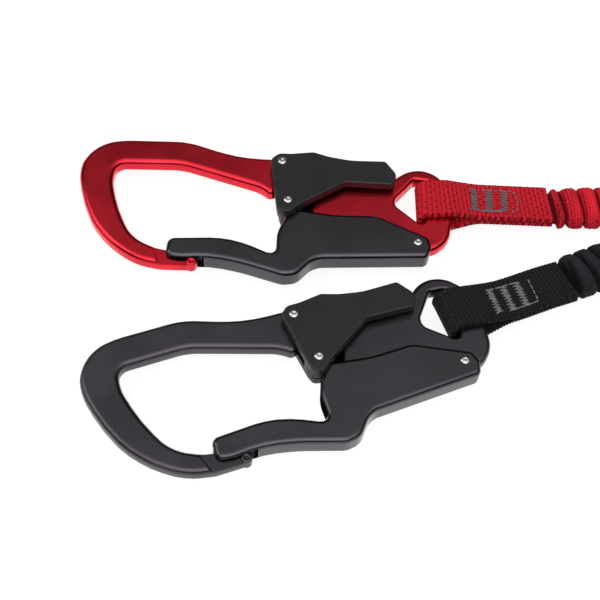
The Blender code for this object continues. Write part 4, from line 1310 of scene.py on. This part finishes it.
def build_tie_in_loop(sizes):
    """The tie-in loop, which ends in the pouch and swells to a round eye."""
    half, middle, ply = sizes.pouch_length / 2, sizes.pouch_height / 2, 2.2 * MM
    inside, outside, apart = -half + 9 * MM, -half - 9 * MM, 2 * MM
    tip, bulb, opening = -half - 58 * MM, 10 * MM, math.radians(38)
    angles = [opening + (math.tau - 2 * opening) * k / 24 for k in range(25)]
    line = upright(
        (inside, middle + apart), (outside, middle + apart),
        *((tip + bulb * math.cos(a), bulb + ply + bulb * math.sin(a)) for a in angles),
        (outside, middle - apart), (inside, middle - apart))
    item = band("tie_in_loop_fine", line, 22 * MM, ply, 44)
    finish_absorber(item, "tie_in", "black_webbing", ["tie_in_loop"])


def build_tear_webbing(sizes):
    """The tear webbing, folded to and fro in the pouch."""
    layers, ply, reach = 6, 2.2 * MM, 42 * MM
    lowest = 2.2 * MM + 0.3 * MM + ply / 2
    rise = (sizes.pouch_height - 2 * lowest) / (layers - 1)
    points = []
    for k in range(layers):
        end = -reach if k % 2 else reach
        height = lowest + k * rise
        points += [(-end, height), (end, height)]
        if k < layers - 1:
            points.append((end + math.copysign(rise / 2, end), height + rise / 2))
    item = band("tear_webbing_fine", upright(*points), 42 * MM, ply, 24, 1 * MM)
    finish_absorber(item, "tear", "tear_yarn", ["tear_webbing"])


# Stage

def aim_camera(scene):
    """The camera, placed and turned as the photograph was taken."""
    camera = bpy.data.cameras.new("camera")
    camera.lens = CAMERA_LENS
    camera.sensor_width = 36
    camera.clip_start = 0.01
    holder = bpy.data.objects.new("camera", camera)
    scene.collection.objects.link(holder)
    up = Vector((0, math.sin(CAMERA_PITCH), math.cos(CAMERA_PITCH)))
    right = Vector((1, 0, 0))
    forward = Vector((0, math.cos(CAMERA_PITCH), -math.sin(CAMERA_PITCH)))
    side = math.cos(CAMERA_ROLL) * right + math.sin(CAMERA_ROLL) * up
    top = -math.sin(CAMERA_ROLL) * right + math.cos(CAMERA_ROLL) * up
    turn = Matrix((side, top, -forward)).transposed()
    holder.matrix_world = Matrix.Translation(CAMERA_PLACE) @ turn.to_4x4()
    scene.camera = holder


def lay_floor():
    """A floor that looks even and pale, takes soft shadows and lights the object from below."""
    floor = bmesh.new()
    bmesh.ops.create_grid(floor, x_segments=1, y_segments=1, size=FLOOR_HALF)
    ground = new_object("floor", floor)
    finish = Finish("floor_finish")
    ray, gloss, clear = finish.rays()
    glow = finish.node("ShaderNodeEmission", None, {"Color": (1, 1, 1), "Strength": FLOOR_GLOW})
    chalk, dim_chalk = (
        finish.node("ShaderNodeBsdfDiffuse", None, {"Color": (grey, grey, grey)})
        for grey in FLOOR_GREYS)
    both = finish.node("ShaderNodeAddShader", None, {0: dim_chalk, 1: glow})
    seen = ray.most(gloss).most(clear)
    picked = finish.node("ShaderNodeMixShader", None, {0: seen, 1: chalk, 2: both})
    finish.link(finish.tree.nodes["Material Output"].inputs["Surface"], picked)
    ground.data.materials.append(finish.material)


def light_room(scene):
    """An even white room, which gloss sees as a soft box overhead, dimmer at the back and left."""
    world = bpy.data.worlds.new("studio")
    scene.world = world
    world.use_nodes = True
    sky = Finish("studio", world.node_tree)
    ray, gloss, clear = sky.rays()
    aside, back, height = sky.parts(sky.node("ShaderNodeTexCoord", output="Generated"))
    behind = back.between(0.69, 0.56, 0.12, 0.60)
    softbox = back.between(0.30, 0.02, 0.0, 0.72)
    studio = (behind + softbox) * height.between(0.40, 0.82) * aside.between(-0.65, 0.05, 0.45, 1.0) + 0.035
    seen = ray.most(clear)
    strength = seen.most(gloss * studio) + (1.0 - seen.most(gloss)) * ROOM_LIGHT
    background = world.node_tree.nodes["Background"]
    sky.link(background.inputs["Color"], (1, 1, 1))
    sky.link(background.inputs["Strength"], strength)


def build_stage():
    """Camera, lights, pale floor and white room."""
    scene = bpy.context.scene
    scene.view_settings.view_transform = "Standard"
    aim_camera(scene)
    lay_floor()
    light_room(scene)
    for name, lamp in LAMPS.items():
        light = bpy.data.lights.new(name, "AREA")
        light.shape = "RECTANGLE"
        light.size, light.size_y = lamp["size"]
        light.energy = lamp["power"]
        holder = bpy.data.objects.new(name, light)
        scene.collection.objects.link(holder)
        aim = (LAMP_AIM - Vector(lamp["place"])).to_track_quat("-Z", "Y").to_matrix().to_4x4()
        holder.matrix_world = Matrix.Translation(lamp["place"]) @ aim


# Operators and panel

class LanyardOperator:
    """What the lanyard's operators share."""
    bl_options = {"REGISTER", "UNDO"}

    def build(self, context, *builders):
        """Make each connector's pieces with the builders."""
        for prefix in CONNECTORS:
            for builder in builders:
                builder(prefix, context.scene.lanyard_sizes)
        return {"FINISHED"}


class LANYARD_OT_stage(LanyardOperator, bpy.types.Operator):
    """Make the camera, lights, floor and finishes"""
    bl_idname = "lanyard.stage"
    bl_label = "Stage and finishes"

    def execute(self, context):
        group = bpy.data.collections.new(COLLECTION)
        context.scene.collection.children.link(group)
        make_materials(context.scene.lanyard_colours)
        build_stage()
        return {"FINISHED"}


class LANYARD_OT_arms(LanyardOperator, bpy.types.Operator):
    """Make the two gathered elastic arms"""
    bl_idname = "lanyard.arms"
    bl_label = "Elastic arms"

    def execute(self, context):
        return self.build(context, build_arm)


class LANYARD_OT_frames(LanyardOperator, bpy.types.Operator):
    """Make the connectors' frames and nose pins"""
    bl_idname = "lanyard.frames"
    bl_label = "Frames"

    def execute(self, context):
        return self.build(context, build_frame, build_nose_pin)


class LANYARD_OT_gates(LanyardOperator, bpy.types.Operator):
    """Make the gates"""
    bl_idname = "lanyard.gates"
    bl_label = "Gates"

    def execute(self, context):
        return self.build(context, build_gate)


class LANYARD_OT_levers(LanyardOperator, bpy.types.Operator):
    """Make the lock levers and their latch blocks"""
    bl_idname = "lanyard.levers"
    bl_label = "Lock levers"

    def execute(self, context):
        return self.build(context, build_lever, build_latch)


class LANYARD_OT_rivets(LanyardOperator, bpy.types.Operator):
    """Make the rivets and finish the springs"""
    bl_idname = "lanyard.rivets"
    bl_label = "Rivets and springs"

    def execute(self, context):
        return self.build(context, build_rivets)


class LANYARD_OT_straps(LanyardOperator, bpy.types.Operator):
    """Make the sewn webbing loops"""
    bl_idname = "lanyard.straps"
    bl_label = "Webbing loops"

    def execute(self, context):
        return self.build(context, build_strap, build_tacks)


class LANYARD_OT_absorber(LanyardOperator, bpy.types.Operator):
    """Make the absorber pouch, its tear webbing and the tie-in loop"""
    bl_idname = "lanyard.absorber"
    bl_label = "Absorber"

    def execute(self, context):
        for builder in (build_pouch, build_tie_in_loop, build_tear_webbing):
            builder(context.scene.lanyard_sizes)
        return {"FINISHED"}


OPERATORS = (
    LANYARD_OT_stage, LANYARD_OT_arms, LANYARD_OT_frames, LANYARD_OT_gates, LANYARD_OT_levers,
    LANYARD_OT_rivets, LANYARD_OT_straps, LANYARD_OT_absorber)


class LANYARD_PT_panel(bpy.types.Panel):
    """Sizes, colours and operators of the lanyard"""
    bl_label = "Lanyard"
    bl_space_type = "VIEW_3D"
    bl_region_type = "UI"
    bl_category = "Lanyard"

    def draw(self, context):
        for settings in (context.scene.lanyard_sizes, context.scene.lanyard_colours):
            column = self.layout.column(align=True)
            for name in settings.__annotations__:
                column.prop(settings, name)
        for operator in OPERATORS:
            self.layout.operator(operator.bl_idname)


CLASSES = (LanyardSizes, LanyardColours, *OPERATORS, LANYARD_PT_panel)


def register():
    """Register the classes and the scene's properties."""
    for cls in CLASSES:
        bpy.utils.register_class(cls)
    bpy.types.Scene.lanyard_sizes = bpy.props.PointerProperty(type=LanyardSizes)
    bpy.types.Scene.lanyard_colours = bpy.props.PointerProperty(type=LanyardColours)


def unregister():
    """Remove the classes and the scene's properties."""
    del bpy.types.Scene.lanyard_colours
    del bpy.types.Scene.lanyard_sizes
    for cls in reversed(CLASSES):
        bpy.utils.unregister_class(cls)


def main():
    """Run every operator in order."""
    register()
    for operator in OPERATORS:
        group, name = operator.bl_idname.split(".")
        getattr(getattr(bpy.ops, group), name)()


if __name__ == "__main__":
    main()
